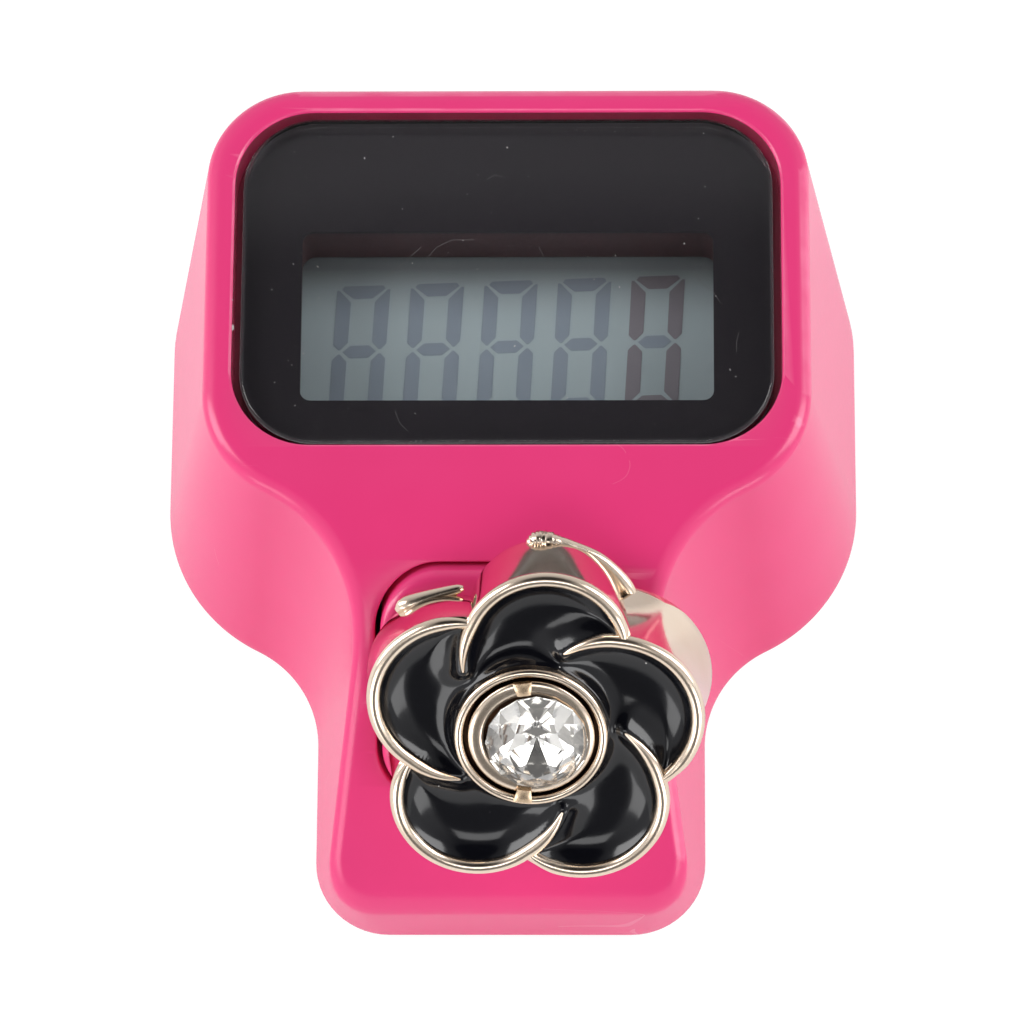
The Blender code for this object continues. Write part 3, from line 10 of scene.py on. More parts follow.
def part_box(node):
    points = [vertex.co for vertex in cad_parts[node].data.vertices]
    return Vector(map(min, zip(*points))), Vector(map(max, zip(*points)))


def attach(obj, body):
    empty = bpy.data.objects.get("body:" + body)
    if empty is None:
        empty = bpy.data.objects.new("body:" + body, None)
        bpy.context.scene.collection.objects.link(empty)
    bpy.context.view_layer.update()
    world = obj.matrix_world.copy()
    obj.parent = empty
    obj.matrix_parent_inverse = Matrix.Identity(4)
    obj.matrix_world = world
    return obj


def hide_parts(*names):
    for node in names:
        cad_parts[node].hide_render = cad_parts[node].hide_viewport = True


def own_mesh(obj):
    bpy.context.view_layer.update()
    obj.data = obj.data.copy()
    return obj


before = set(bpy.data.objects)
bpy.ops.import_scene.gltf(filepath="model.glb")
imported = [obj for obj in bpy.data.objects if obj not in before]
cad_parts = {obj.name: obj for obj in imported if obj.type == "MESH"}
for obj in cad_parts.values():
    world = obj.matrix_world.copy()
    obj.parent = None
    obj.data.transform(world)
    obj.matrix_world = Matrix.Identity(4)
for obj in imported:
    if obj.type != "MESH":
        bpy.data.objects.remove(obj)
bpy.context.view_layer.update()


# Case
# One glossy pink ABS moulding, open below: a wide head that narrows in two soft curves to the
# tail, a flat top that bends down into the slope, a recess for the window, an opening for the
# count key, and bosses inside for the screws.

CASE_LENGTH = 0.0301
CASE_HEIGHT = 0.0140
HEAD_WIDTH = 0.02755
TAIL_WIDTH = 0.0154
SIDE_DRAFT = radians(9.5)
END_DRAFT = radians(0.3)
HEAD_CORNER = 0.0059
SHOULDER_RADIUS = 0.0067
SHOULDER_PAST_WINDOW = 0.0024
NECK_RADIUS = 0.0044
TAIL_CORNER = 0.0031
TAIL_TOP_CORNER = 0.0018
SLOPE_ANGLE = radians(47.0)
TAIL_EDGE_SHARE = 0.277
BEND_RADIUS = 0.0100
BASE_FILLET = 0.0007
TOP_FILLET = 0.0006
TAIL_EDGE_HEIGHT = CASE_HEIGHT * TAIL_EDGE_SHARE
SLOPE_CORNER_Y = (CASE_HEIGHT - TAIL_EDGE_HEIGHT) / tan(SLOPE_ANGLE) - CASE_LENGTH / 2
SLOPE_LENGTH = (CASE_HEIGHT - TAIL_EDGE_HEIGHT) / sin(SLOPE_ANGLE)
BEND_START_Y = SLOPE_CORNER_Y + BEND_RADIUS * tan(SLOPE_ANGLE / 2)
WALL = 0.0011
ROOF = 0.0015
SIDE_GAP = 0.00015
OVERRUN = 0.0010
RIM_SIDE = 0.00335
RIM_END = 0.00085
FACE_MARGIN = 0.00135
RECESS_WIDTH = HEAD_WIDTH - 2 * RIM_SIDE
RECESS_HIGH_Y = CASE_LENGTH / 2 - RIM_END
RECESS_LOW_Y = BEND_START_Y + FACE_MARGIN
RECESS_LENGTH = RECESS_HIGH_Y - RECESS_LOW_Y
RECESS_CORNER = 0.0030
RECESS_NEAR_TRIM = 0.0002
RECESS_FAR_TRIM = 0.00028
LENS_SIDE_GAP = 0.0003
LENS_END_GAP = 0.00015
RECESS_EDGE = 0.00014
SHOULDER_Y = RECESS_LOW_Y + SHOULDER_PAST_WINDOW
LENS_DROP = 0.0003
LENS_THICKNESS = 0.0009
LENS_TOP = CASE_HEIGHT - LENS_DROP
LENS_BOTTOM = LENS_TOP - LENS_THICKNESS
FILM_GAP = 0.0001
MASK_THICKNESS = 0.00015
MASK_SIDE = 0.002575
LEDGE_THICKNESS = 0.0008
LEDGE_TOP = LENS_BOTTOM - 2 * FILM_GAP - MASK_THICKNESS
LEDGE_BOTTOM = LEDGE_TOP - LEDGE_THICKNESS
SHAFT_WALL = 0.0008
WINDOW_LOW_SHARE = 0.1643
WINDOW_HIGH_SHARE = 0.6533
WINDOW_WIDTH = RECESS_WIDTH - 2 * MASK_SIDE
WINDOW_LOW_Y = RECESS_LOW_Y + RECESS_LENGTH * WINDOW_LOW_SHARE
WINDOW_HIGH_Y = RECESS_LOW_Y + RECESS_LENGTH * WINDOW_HIGH_SHARE
WINDOW_CORNER = 0.0004
KEY_SIDE = 0.0030
KEY_LENGTH_SHARE = 0.6683
KEY_CENTRE_SHARE = 0.3089
KEY_WIDTH = TAIL_WIDTH - 2 * KEY_SIDE
KEY_LENGTH = SLOPE_LENGTH * KEY_LENGTH_SHARE
KEY_CENTRE_V = -SLOPE_LENGTH * KEY_CENTRE_SHARE
KEY_CORNER = 0.0022
KEY_GAP = 0.0002
KEY_SKIRT = 0.0034
KEY_OPENING_EDGE = 0.00010
RESET_RADIUS = 0.0012
RESET_HOLE_GAP = 0.0002
EDGE_ANGLES = (0.0, radians(18.0), radians(36.0), radians(54.0), radians(70.0))
HEAD_CORNER_STEPS = 22
SHOULDER_STEPS = 34
NECK_STEPS = 28
TAIL_STEPS = 12
TAIL_CORNER_STEPS = 14
FILLET_STEPS = 7
EDGE_PASSES = 8
LEAST_CORNER = 0.0004
FLAT_STRIP = 0.0004
ROUND_STEPS = 8
RECESS_CORNER_STEPS = 20
KEY_CORNER_STEPS = 16
KEY_SIDE_STEPS = 20
ROD_STEPS = 24
EDGE_DEGREES = 32.0
MOULDED_DEGREES = 28.0


def case_top(y, offset=0.0):
    """Height of the case's top at a length y: flat, then the bend, then the slope."""
    radius = BEND_RADIUS + offset
    run = BEND_START_Y - y
    if run <= 0:
        return CASE_HEIGHT + offset
    if run < radius * sin(SLOPE_ANGLE):
        return CASE_HEIGHT - BEND_RADIUS + sqrt(radius * radius - run * run)
    return CASE_HEIGHT - (SLOPE_CORNER_Y - y) * tan(SLOPE_ANGLE) + offset / cos(SLOPE_ANGLE)


def slope_top(v, offset=0.0):
    """The same top over the slope's plane, v up the slope."""
    tangent = -BEND_RADIUS * tan(SLOPE_ANGLE / 2)
    if v <= tangent:
        return offset
    return sqrt((BEND_RADIUS + offset) ** 2 - (v - tangent) ** 2) - BEND_RADIUS


def on_slope(x, v, height):
    """The place of a point given in the slope's own axes."""
    y = SLOPE_CORNER_Y + v * cos(SLOPE_ANGLE) - height * sin(SLOPE_ANGLE)
    z = CASE_HEIGHT + v * sin(SLOPE_ANGLE) + height * cos(SLOPE_ANGLE)
    return Vector((x, y, z))


def arc(centre_x, centre_y, radius, start, end, steps):
    points = []
    for i in range(steps + 1):
        angle = start + (end - start) * i / steps
        points.append((centre_x + radius * cos(angle), centre_y + radius * sin(angle)))
    return points


def rounded_half(width, low, high, corner, steps=ROUND_STEPS, side_steps=1):
    """The right half of a rounded rectangle, from its high side to its low one."""
    side = width / 2 - corner
    upper = arc(side, high - corner, corner, pi / 2, 0, steps)
    lower = arc(side, low + corner, corner, 0, -pi / 2, steps)
    start, end = upper[-1][1], lower[0][1]
    straight = [(width / 2, start + (end - start) * i / side_steps) for i in range(1, side_steps)]
    return upper + straight + lower


def quarter(steps):
    """The two shares of a rounded edge's radius at each step of its quarter turn."""
    for step in range(steps + 1):
        angle = pi / 2 * step / steps
        yield 1 - cos(angle), 1 - sin(angle)


def at_level(half, z):
    return [(x, y, z) for x, y in half]


def paired_loft(rings):
    """Close a stack of half rings on the +X side with their mirror images and strip caps."""
    bm = bmesh.new()
    loops = []
    for half in rings:
        right = [bm.verts.new(point) for point in half]
        left = [bm.verts.new((-x, y, z)) for x, y, z in half]
        loops.append((right, left))
    last = len(rings[0]) - 1
    for (right_a, left_a), (right_b, left_b) in zip(loops, loops[1:]):
        for i in range(last):
            bm.faces.new((right_a[i], right_a[i + 1], right_b[i + 1], right_b[i]))
            bm.faces.new((left_a[i + 1], left_a[i], left_b[i], left_b[i + 1]))
        bm.faces.new((left_a[0], right_a[0], right_b[0], left_b[0]))
        bm.faces.new((right_a[last], left_a[last], left_b[last], right_b[last]))
    for right, left in (loops[0], loops[-1]):
        for i in range(last):
            bm.faces.new((right[i], right[i + 1], left[i + 1], left[i]))
    bmesh.ops.recalc_face_normals(bm, faces=bm.faces)
    bmesh.ops.triangulate(bm, faces=bm.faces)
    return bm


def block(low, high):
    bm = bmesh.new()
    size = [b - a for a, b in zip(low, high)]
    centre = [(a + b) / 2 for a, b in zip(low, high)]
    bmesh.ops.create_cube(bm, size=1, matrix=Matrix.Translation(centre) @ Matrix.Diagonal((*size, 1)))
    return bm


def rods(places, radius, low, high, steps=ROD_STEPS):
    """Upright rods, one at each place."""
    bm = bmesh.new()
    for x, y in places:
        bmesh.ops.create_cone(bm, cap_ends=True, segments=steps, radius1=radius, radius2=radius,
                              depth=high - low, matrix=Matrix.Translation((x, y, (low + high) / 2)))
    return bm


def shade(item, sharp_degrees):
    item.data.shade_smooth()
    item.data.set_sharp_from_angle(angle=radians(sharp_degrees))


def make(name, bm, matrix=None, sharp_degrees=EDGE_DEGREES):
    """An object of the mesh, moved into place, smooth except at its hard edges."""
    if matrix is not None:
        bmesh.ops.transform(bm, matrix=matrix, verts=bm.verts)
    bmesh.ops.recalc_face_normals(bm, faces=bm.faces)
    mesh = bpy.data.meshes.new(name)
    bm.to_mesh(mesh)
    bm.free()
    item = bpy.data.objects.new(name, mesh)
    bpy.context.scene.collection.objects.link(item)
    shade(item, sharp_degrees)
    return item


def combine(item, operation, *others, sharp_degrees=EDGE_DEGREES):
    """Cut the others from the item, or join them to it, and keep the result as its mesh."""
    for other in others:
        modifier = item.modifiers.new(other.name, 'BOOLEAN')
        modifier.operation = operation
        modifier.solver = 'EXACT'
        modifier.object = other
    depsgraph = bpy.context.evaluated_depsgraph_get()
    mesh = bpy.data.meshes.new_from_object(item.evaluated_get(depsgraph))
    item.modifiers.clear()
    item.data = mesh
    for other in others:
        bpy.data.objects.remove(other, do_unlink=True)
    shade(item, sharp_degrees)


def level_shading(item):
    """Keep flat faces flat-looking beside their rounded edges."""
    modifier = item.modifiers.new("level_shading", 'WEIGHTED_NORMAL')
    modifier.keep_sharp = True


def case_half(z, inset):
    """The case's outline at a height, on the +X side, from the far end to the tail's end."""
    side = z * tan(SIDE_DRAFT) + inset
    end = z * tan(END_DRAFT) + inset
    head = HEAD_WIDTH / 2 - side
    tail = TAIL_WIDTH / 2 - side
    far = CASE_LENGTH / 2 - end
    near = end - CASE_LENGTH / 2
    head_corner = HEAD_CORNER - side
    shoulder = SHOULDER_RADIUS - side
    neck = NECK_RADIUS + side
    level_share = min(max(z / TAIL_EDGE_HEIGHT, 0), 1)
    corner = TAIL_CORNER + (TAIL_TOP_CORNER - TAIL_CORNER) * level_share - inset
    corner = max(corner, LEAST_CORNER)
    turn = acos(1 - (head - tail) / (shoulder + neck))
    neck_y = SHOULDER_Y - (shoulder + neck) * sin(turn)
    half = [(head - head_corner - FLAT_STRIP, far)]
    half += arc(head - head_corner, far - head_corner, head_corner, pi / 2, 0, HEAD_CORNER_STEPS)
    half += arc(head - shoulder, SHOULDER_Y, shoulder, 0, -turn, SHOULDER_STEPS)
    half += arc(tail + neck, neck_y, neck, pi - turn, pi, NECK_STEPS)[1:]
    low = near + corner
    for i in range(1, TAIL_STEPS):
        half.append((tail, neck_y + (low - neck_y) * i / TAIL_STEPS))
    half += arc(tail - corner, low, corner, 0, -pi / 2, TAIL_CORNER_STEPS)
    half.append((tail - corner - FLAT_STRIP, near))
    return half


def case_edge(inset, offset, fillet, rise):
    """A ring of the case under its top: fillet is the edge's radius and rise how far it turns."""
    ring = []
    for column in range(len(case_half(0, 0))):
        z = CASE_HEIGHT + offset - fillet
        for _ in range(EDGE_PASSES):
            z = case_top(case_half(z, inset)[column][1], offset) - fillet
        x, y = case_half(z, inset + fillet * (1 - cos(rise)))[column]
        ring.append((x, y, case_top(y, offset) - fillet * (1 - sin(rise))))
    return ring


def recess_half(side, end):
    """The recess's outline in the roof, drawn in at its sides and at its ends."""
    return rounded_half(RECESS_WIDTH - 2 * side, RECESS_LOW_Y + RECESS_NEAR_TRIM + end,
                        RECESS_HIGH_Y - RECESS_FAR_TRIM - end, RECESS_CORNER - end,
                        RECESS_CORNER_STEPS)


def window_half(outset):
    return rounded_half(WINDOW_WIDTH + 2 * outset, WINDOW_LOW_Y - outset, WINDOW_HIGH_Y + outset,
                        WINDOW_CORNER + outset)


def key_half(outset, side_outset=None, corner=None):
    """The count key's outline in its own axes, X across and Y up the slope."""
    across = outset if side_outset is None else side_outset
    reach = KEY_LENGTH / 2 + outset
    radius = KEY_CORNER + across if corner is None else corner
    return rounded_half(KEY_WIDTH + 2 * across, -reach, reach, radius, KEY_CORNER_STEPS,
                        KEY_SIDE_STEPS)


def key_surface(half, offset, inset=0.0):
    """Lift an outline of the key onto the case's surface."""
    return [(x, y, slope_top(y + KEY_CENTRE_V, offset) - inset) for x, y in half]


KEY_MATRIX = Matrix.Translation(on_slope(0, KEY_CENTRE_V, 0)) @ Matrix.Rotation(SLOPE_ANGLE, 4, 'X')
HEAD_SCREWS = ((-0.0096, 0.0118), (0.0096, 0.0118))
TAIL_SCREWS = ((-0.0043, -0.0122), (0.0043, -0.0122))
BOARD_POSTS = ((-0.0104, 0.00446), (0.0104, 0.00446))
BOSS_RADIUS = 0.0016
BOSS_LOW = 0.0015
BOSS_HIGH = 0.00495
TAIL_BOSS_RADIUS = 0.00135
POST_RADIUS = 0.0008
POST_LOW = 0.00675
SCREW_BORE = 0.00065
SCREW_BORE_DEPTH = 0.0044
POST_BORE = 0.0005
POST_BORE_LOW = 0.0057
POST_BORE_HIGH = 0.00835
SHAFT_BOTTOM = 0.00985
RESET_PLACE = (0.0056, 0.0046)
RESET_HOLE_STEPS = 40


def case_shell():
    """The moulding: outside, inside with its bosses, recess, window, key opening, reset hole."""
    rings = []
    for rise, reach in quarter(FILLET_STEPS):
        z = BASE_FILLET * rise
        rings.append(at_level(case_half(z, BASE_FILLET * reach), z))
    wall_low = BASE_FILLET + FLAT_STRIP
    rings.append(at_level(case_half(wall_low, 0), wall_low))
    rings.append(case_edge(0, 0, TOP_FILLET + FLAT_STRIP, 0))
    for i in range(FILLET_STEPS + 1):
        rings.append(case_edge(0, 0, TOP_FILLET, pi / 2 * i / FILLET_STEPS))
    shell = make("pink_case", paired_loft(rings))
    cavity = make("cavity", paired_loft([at_level(case_half(-OVERRUN, WALL), -OVERRUN),
                                         at_level(case_half(0, WALL), 0),
                                         case_edge(WALL, -ROOF, 0, 0)]))
    top = CASE_HEIGHT + OVERRUN
    ledge = block((-HEAD_WIDTH / 2, RECESS_LOW_Y - SHAFT_WALL, LEDGE_BOTTOM),
                  (HEAD_WIDTH / 2, CASE_LENGTH / 2 + OVERRUN, top))
    shaft = paired_loft([at_level(window_half(SHAFT_WALL + SIDE_GAP), z) for z in (SHAFT_BOTTOM, top)])
    combine(cavity, 'DIFFERENCE', make("ledge", ledge), make("shaft", shaft),
            make("head_bosses", rods(HEAD_SCREWS, BOSS_RADIUS, BOSS_LOW, BOSS_HIGH)),
            make("tail_bosses", rods(TAIL_SCREWS, TAIL_BOSS_RADIUS, BOSS_LOW, top)),
            make("posts", rods(BOARD_POSTS, POST_RADIUS, POST_LOW, top)))
    recess_rings = [at_level(recess_half(0, 0), LEDGE_TOP)]
    opening_rings = [at_level(key_half(KEY_GAP), -KEY_SKIRT)]
    for angle in EDGE_ANGLES:
        spread, rise = 1 - cos(angle), 1 - sin(angle)
        edge = -RECESS_EDGE * spread
        recess_rings.append(at_level(recess_half(edge, edge), CASE_HEIGHT - RECESS_EDGE * rise))
        opening_rings.append(key_surface(key_half(KEY_GAP + KEY_OPENING_EDGE * spread), 0,
                                         KEY_OPENING_EDGE * rise))
    edge = -2 * RECESS_EDGE
    recess_rings.append(at_level(recess_half(edge, edge), CASE_HEIGHT + RECESS_EDGE / 2))
    opening_rings.append(key_surface(key_half(KEY_GAP + 2 * KEY_OPENING_EDGE), KEY_OPENING_EDGE / 2))
    window = paired_loft([at_level(window_half(SIDE_GAP), z)
                          for z in (SHAFT_BOTTOM - OVERRUN, CASE_HEIGHT)])
    hole = rods([(0, 0)], RESET_RADIUS + RESET_HOLE_GAP, -WALL, 2 * WALL, RESET_HOLE_STEPS)
    hole_matrix = (Matrix.Translation((RESET_PLACE[0], CASE_LENGTH / 2, RESET_PLACE[1]))
                   @ Matrix.Rotation(pi / 2, 4, 'X'))
    combine(shell, 'DIFFERENCE', cavity, make("recess", paired_loft(recess_rings)),
            make("window", window), make("opening", paired_loft(opening_rings), KEY_MATRIX),
            make("reset_hole", hole, hole_matrix),
            make("screw_bores", rods(HEAD_SCREWS + TAIL_SCREWS, SCREW_BORE, 0, SCREW_BORE_DEPTH)),
            make("post_bores", rods(BOARD_POSTS, POST_BORE, POST_BORE_LOW, POST_BORE_HIGH)),
            sharp_degrees=MOULDED_DEGREES)
    level_shading(shell)
    return shell


BROAD_DETAIL = 3.0
FINE_DETAIL = 6.0
FINE_SCALE_SHARE = 14.0
SCRATCH_DETAIL = 0.0
SCRATCH_STRETCH = (1.0, 6.0, 1.0)
SCRATCH_GATE_SCALE_SHARE = 2.0
SCRATCH_GATE = 0.61
NOISE_MIDDLE = 0.5
SPECK_CHANCE_POWER = 4.0
DUST_COLOUR = (0.72, 0.70, 0.68)
MIX_FACTOR = 0
MIX_COLOURS = (6, 7)
MIX_RESULT = 2


def new_group(name, outputs, **inputs):
    """A shader node group, the sockets of its inputs inside it, and those of its outputs."""
    group = bpy.data.node_groups.new(name, 'ShaderNodeTree')
    for label, value in inputs.items():
        kind = 'NodeSocketVector' if isinstance(value, tuple) else 'NodeSocketFloat'
        socket = group.interface.new_socket(name=label, in_out='INPUT', socket_type=kind)
        socket.default_value = value
    for label in outputs:
        group.interface.new_socket(name=label, in_out='OUTPUT', socket_type='NodeSocketFloat')
    return group, group.nodes.new('NodeGroupInput').outputs, group.nodes.new('NodeGroupOutput').inputs


def feed(tree, socket, source):
    """Link a socket to its source, or set it to a value."""
    if isinstance(source, bpy.types.NodeSocket):
        tree.links.new(source, socket)
    elif socket.type == 'RGBA':
        socket.default_value = (*source, 1.0)
    else:
        socket.default_value = source


def put(tree, node, **inputs):
    """Link or set a node's inputs by their labels, with _ for a space."""
    for label, source in inputs.items():
        feed(tree, node.inputs[label.replace("_", " ")], source)
    return node


def add(tree, kind, **inputs):
    return put(tree, tree.nodes.new('ShaderNode' + kind), **inputs)


def calculate(tree, operation, first, second=0.0):
    """A Math node's result."""
    node = tree.nodes.new('ShaderNodeMath')
    node.operation = operation
    for socket, source in zip(node.inputs, (first, second)):
        feed(tree, socket, source)
    return node.outputs[0]


def place_of(tree, space="Object"):
    return add(tree, 'TexCoord').outputs[space]


def moulded_grain_group():
    """Broad shade, roughness between two values, and a fine height, all from object position."""
    group, ins, outs = new_group("moulded_grain", ("Shade", "Roughness", "Height"), Scale=400.0,
                                 Low=0.2, High=0.3)
    broad = add(group, 'TexNoise', Vector=place_of(group), Scale=ins["Scale"], Detail=BROAD_DETAIL)
    fine_scale = calculate(group, 'MULTIPLY', ins["Scale"], FINE_SCALE_SHARE)
    fine = add(group, 'TexNoise', Vector=place_of(group), Scale=fine_scale, Detail=FINE_DETAIL)
    span = calculate(group, 'SUBTRACT', ins["High"], ins["Low"])
    rough = calculate(group, 'MULTIPLY', span, fine.outputs["Fac"])
    feed(group, outs["Shade"], broad.outputs["Fac"])
    feed(group, outs["Roughness"], calculate(group, 'ADD', rough, ins["Low"]))
    feed(group, outs["Height"], fine.outputs["Fac"])
    return group


def hair_scratches_group():
    """Thin scratches: the narrow band between two levels of a stretched noise."""
    group, ins, outs = new_group("hair_scratches", ("Mask",), Scale=90.0, Width=0.0008,
                                 Turn=(0.3, 0.2, 0.9))
    mapping = add(group, 'Mapping', Vector=place_of(group), Rotation=ins["Turn"],
                  Scale=SCRATCH_STRETCH)
    noise = add(group, 'TexNoise', Vector=mapping.outputs["Vector"], Scale=ins["Scale"],
                Detail=SCRATCH_DETAIL)
    gate_scale = calculate(group, 'MULTIPLY', ins["Scale"], SCRATCH_GATE_SCALE_SHARE)
    gate = add(group, 'TexNoise', Vector=place_of(group), Scale=gate_scale)
    away = calculate(group, 'SUBTRACT', noise.outputs["Fac"], NOISE_MIDDLE)
    line = calculate(group, 'LESS_THAN', calculate(group, 'ABSOLUTE', away), ins["Width"])
    shown = calculate(group, 'GREATER_THAN', gate.outputs["Fac"], SCRATCH_GATE)
    feed(group, outs["Mask"], calculate(group, 'MULTIPLY', line, shown))
    return group


def dust_specks_group():
    """Specks of dust: small spots about scattered points, each of its own size."""
    group, ins, outs = new_group("dust_specks", ("Mask",), Scale=500.0, Size=0.12)
    cells = add(group, 'TexVoronoi', Vector=place_of(group), Scale=ins["Scale"])
    parts = add(group, 'SeparateColor', Color=cells.outputs["Color"])
    chance = calculate(group, 'POWER', parts.outputs["Red"], SPECK_CHANCE_POWER)
    reach = calculate(group, 'MULTIPLY', chance, ins["Size"])
    feed(group, outs["Mask"], calculate(group, 'LESS_THAN', cells.outputs["Distance"], reach))
    return group


def edge_wear_group():
    """Where the surface turns outwards, broken up by noise."""
    group, ins, outs = new_group("edge_wear", ("Mask",), Start=0.53, End=0.62, Scale=700.0)
    spread = add(group, 'MapRange', Value=add(group, 'NewGeometry').outputs["Pointiness"],
                 From_Min=ins["Start"], From_Max=ins["End"])
    noise = add(group, 'TexNoise', Vector=place_of(group), Scale=ins["Scale"])
    feed(group, outs["Mask"],
         calculate(group, 'MULTIPLY', spread.outputs["Result"], noise.outputs["Fac"]))
    return group


MOULDED_GRAIN = moulded_grain_group()
HAIR_SCRATCHES = hair_scratches_group()
DUST_SPECKS = dust_specks_group()
EDGE_WEAR = edge_wear_group()


def place_group(tree, group, **values):
    node = tree.nodes.new('ShaderNodeGroup')
    node.node_tree = group
    return put(tree, node, **values).outputs


def mix_colours(tree, factor, *colours):
    """A Mix node's colour, from two colours that are each linked or set."""
    node = tree.nodes.new('ShaderNodeMix')
    node.data_type = 'RGBA'
    feed(tree, node.inputs[MIX_FACTOR], factor)
    for number, colour in zip(MIX_COLOURS, colours):
        feed(tree, node.inputs[number], colour)
    return node.outputs[MIX_RESULT]


def bump(tree, height, strength, distance):
    return add(tree, 'Bump', Height=height, Strength=strength, Distance=distance).outputs["Normal"]


def new_shader(name):
    """A material, its node tree and its main shader."""
    material = bpy.data.materials.new(name)
    material.use_nodes = True
    return material, material.node_tree, material.node_tree.nodes["Principled BSDF"]


def coat(material, factor, colour):
    """Lay one more colour over a material's own."""
    tree = material.node_tree
    socket = tree.nodes["Principled BSDF"].inputs["Base Color"]
    feed(tree, socket, mix_colours(tree, factor, socket.links[0].from_socket, colour))


def surface(name, colour, second, low, high, scale, metallic=0.0, bump_depth=0.00001,
            bump_strength=0.15, dust_scale=None, wear=None):
    """A material of two shades, whose roughness and fine relief vary over the surface.

    low and high are its roughness, and scale is that of its grain."""
    material, tree, shader = new_shader(name)
    grain = place_group(tree, MOULDED_GRAIN, Scale=scale, Low=low, High=high)
    put(tree, shader, Base_Color=mix_colours(tree, grain["Shade"], colour, second),
        Roughness=grain["Roughness"], Metallic=metallic,
        Normal=bump(tree, grain["Height"], bump_strength, bump_depth))
    if wear is not None:
        coat(material, place_group(tree, EDGE_WEAR)["Mask"], wear)
    if dust_scale is not None:
        coat(material, place_group(tree, DUST_SPECKS, Scale=dust_scale)["Mask"], DUST_COLOUR)
    return material


def paint(item, material):
    item.data.materials.clear()
    item.data.materials.append(material)


def dress(node, material):
    """Give a carried-over CAD node its finish."""
    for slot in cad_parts[node].material_slots:
        slot.material = material


PINK = (0.83, 0.052, 0.215)
PINK_DEEP = (0.80, 0.044, 0.192)
PINK_WORN = (0.93, 0.20, 0.36)
PINK_SCRATCH = (0.97, 0.50, 0.62)
PINK_ROUGHNESS = (0.20, 0.27)
PINK_GRAIN = 260.0
PINK_BUMP = 0.03
PINK_IOR = 1.5
SCRATCH_STRENGTH = 0.16


def pink_plastic(name):
    """Glossy pink ABS with a faint moulding ripple, hair scratches and paler edges."""
    material = surface(name, PINK, PINK_DEEP, *PINK_ROUGHNESS, PINK_GRAIN, bump_strength=PINK_BUMP,
                       wear=PINK_WORN)
    tree = material.node_tree
    scratches = place_group(tree, HAIR_SCRATCHES)["Mask"]
    coat(material, calculate(tree, 'MULTIPLY', scratches, SCRATCH_STRENGTH), PINK_SCRATCH)
    put(tree, tree.nodes["Principled BSDF"], IOR=PINK_IOR)
    return material


SHAFT_REACH = 0.0006
WALL_REACH = 0.0001
# Each row of a finish table: name, two shades, least and greatest roughness, scale of the grain.
CASE_FINISHES = (
    # painted shade: the window's shaft walls get a near-black copy of the pink for the shade deep in
    # them
    ("painted_shade_shaft", (0.040, 0.018, 0.020), (0.060, 0.028, 0.030), 0.4, 0.6, 500.0),
    # painted shade: the recess walls get a dark red copy of the pink for the shade in the gap round
    # the lens
    ("painted_shade_wall", (0.21, 0.008, 0.034), (0.15, 0.006, 0.024), 0.3, 0.5, 700.0))
PAINTED_SHADE_SHAFT, PAINTED_SHADE_WALL = 1, 2


def in_window_shaft(spot):
    """Whether a point lies on the walls under the window, whose dark finish is painted shade."""
    beside = abs(spot.x) < WINDOW_WIDTH / 2 + SHAFT_REACH
    along = WINDOW_LOW_Y - SHAFT_REACH < spot.y < WINDOW_HIGH_Y + SHAFT_REACH
    return beside and along and SHAFT_BOTTOM - WALL < spot.z < LEDGE_TOP


def in_recess(spot):
    """Whether a point lies on the recess's own walls and ledge, whose dark finish is painted shade."""
    low, high = RECESS_LOW_Y + RECESS_NEAR_TRIM, RECESS_HIGH_Y - RECESS_FAR_TRIM
    past_x = abs(spot.x) - (RECESS_WIDTH / 2 - RECESS_CORNER)
    past_y = abs(spot.y - (low + high) / 2) - ((high - low) / 2 - RECESS_CORNER)
    past = Vector((max(past_x, 0), max(past_y, 0))).length
    return (past < RECESS_CORNER + WALL_REACH
            and LEDGE_TOP - WALL_REACH < spot.z < CASE_HEIGHT - RECESS_EDGE)


case = case_shell()
paint(case, pink_plastic("pink_case_plastic"))
for finish in CASE_FINISHES:
    case.data.materials.append(surface(*finish))
# Painted shade: the recess walls and the window's shaft take darker copies of the pink.
for face in case.data.polygons:
    if in_recess(face.center):
        face.material_index = PAINTED_SHADE_WALL
    elif in_window_shaft(face.center):
        face.material_index = PAINTED_SHADE_SHAFT
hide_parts("upper_housing")
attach(case, "case")


# Back cover and its screws
# A flat black plate closes the case from below and carries the cell and the key board; four
# small nickel-plated screws hold it, their heads sunk in it.

COVER_BLACK = surface("cover_black_plastic", (0.020, 0.020, 0.022), (0.032, 0.031, 0.033),
                      low=0.34, high=0.50, scale=900.0, bump_depth=0.00003, bump_strength=0.4,
                      dust_scale=420.0)
SCREW_STEEL = surface("screw_steel", (0.60, 0.59, 0.57), (0.48, 0.47, 0.45), low=0.20, high=0.38,
                      scale=1500.0, metallic=1.0, wear=(0.80, 0.79, 0.77))
dress("back_cover", COVER_BLACK)
for number in (1, 2, 3, 4):
    dress("case_screw_%d" % number, SCREW_STEEL)


# Window
# A clear acrylic lens with softened edges lies in the rim's recess; its border is printed black
# on the back, open over the digits. Its face carries specks of dust and a few fibres, and two
# specks of glue sit at its left edge.

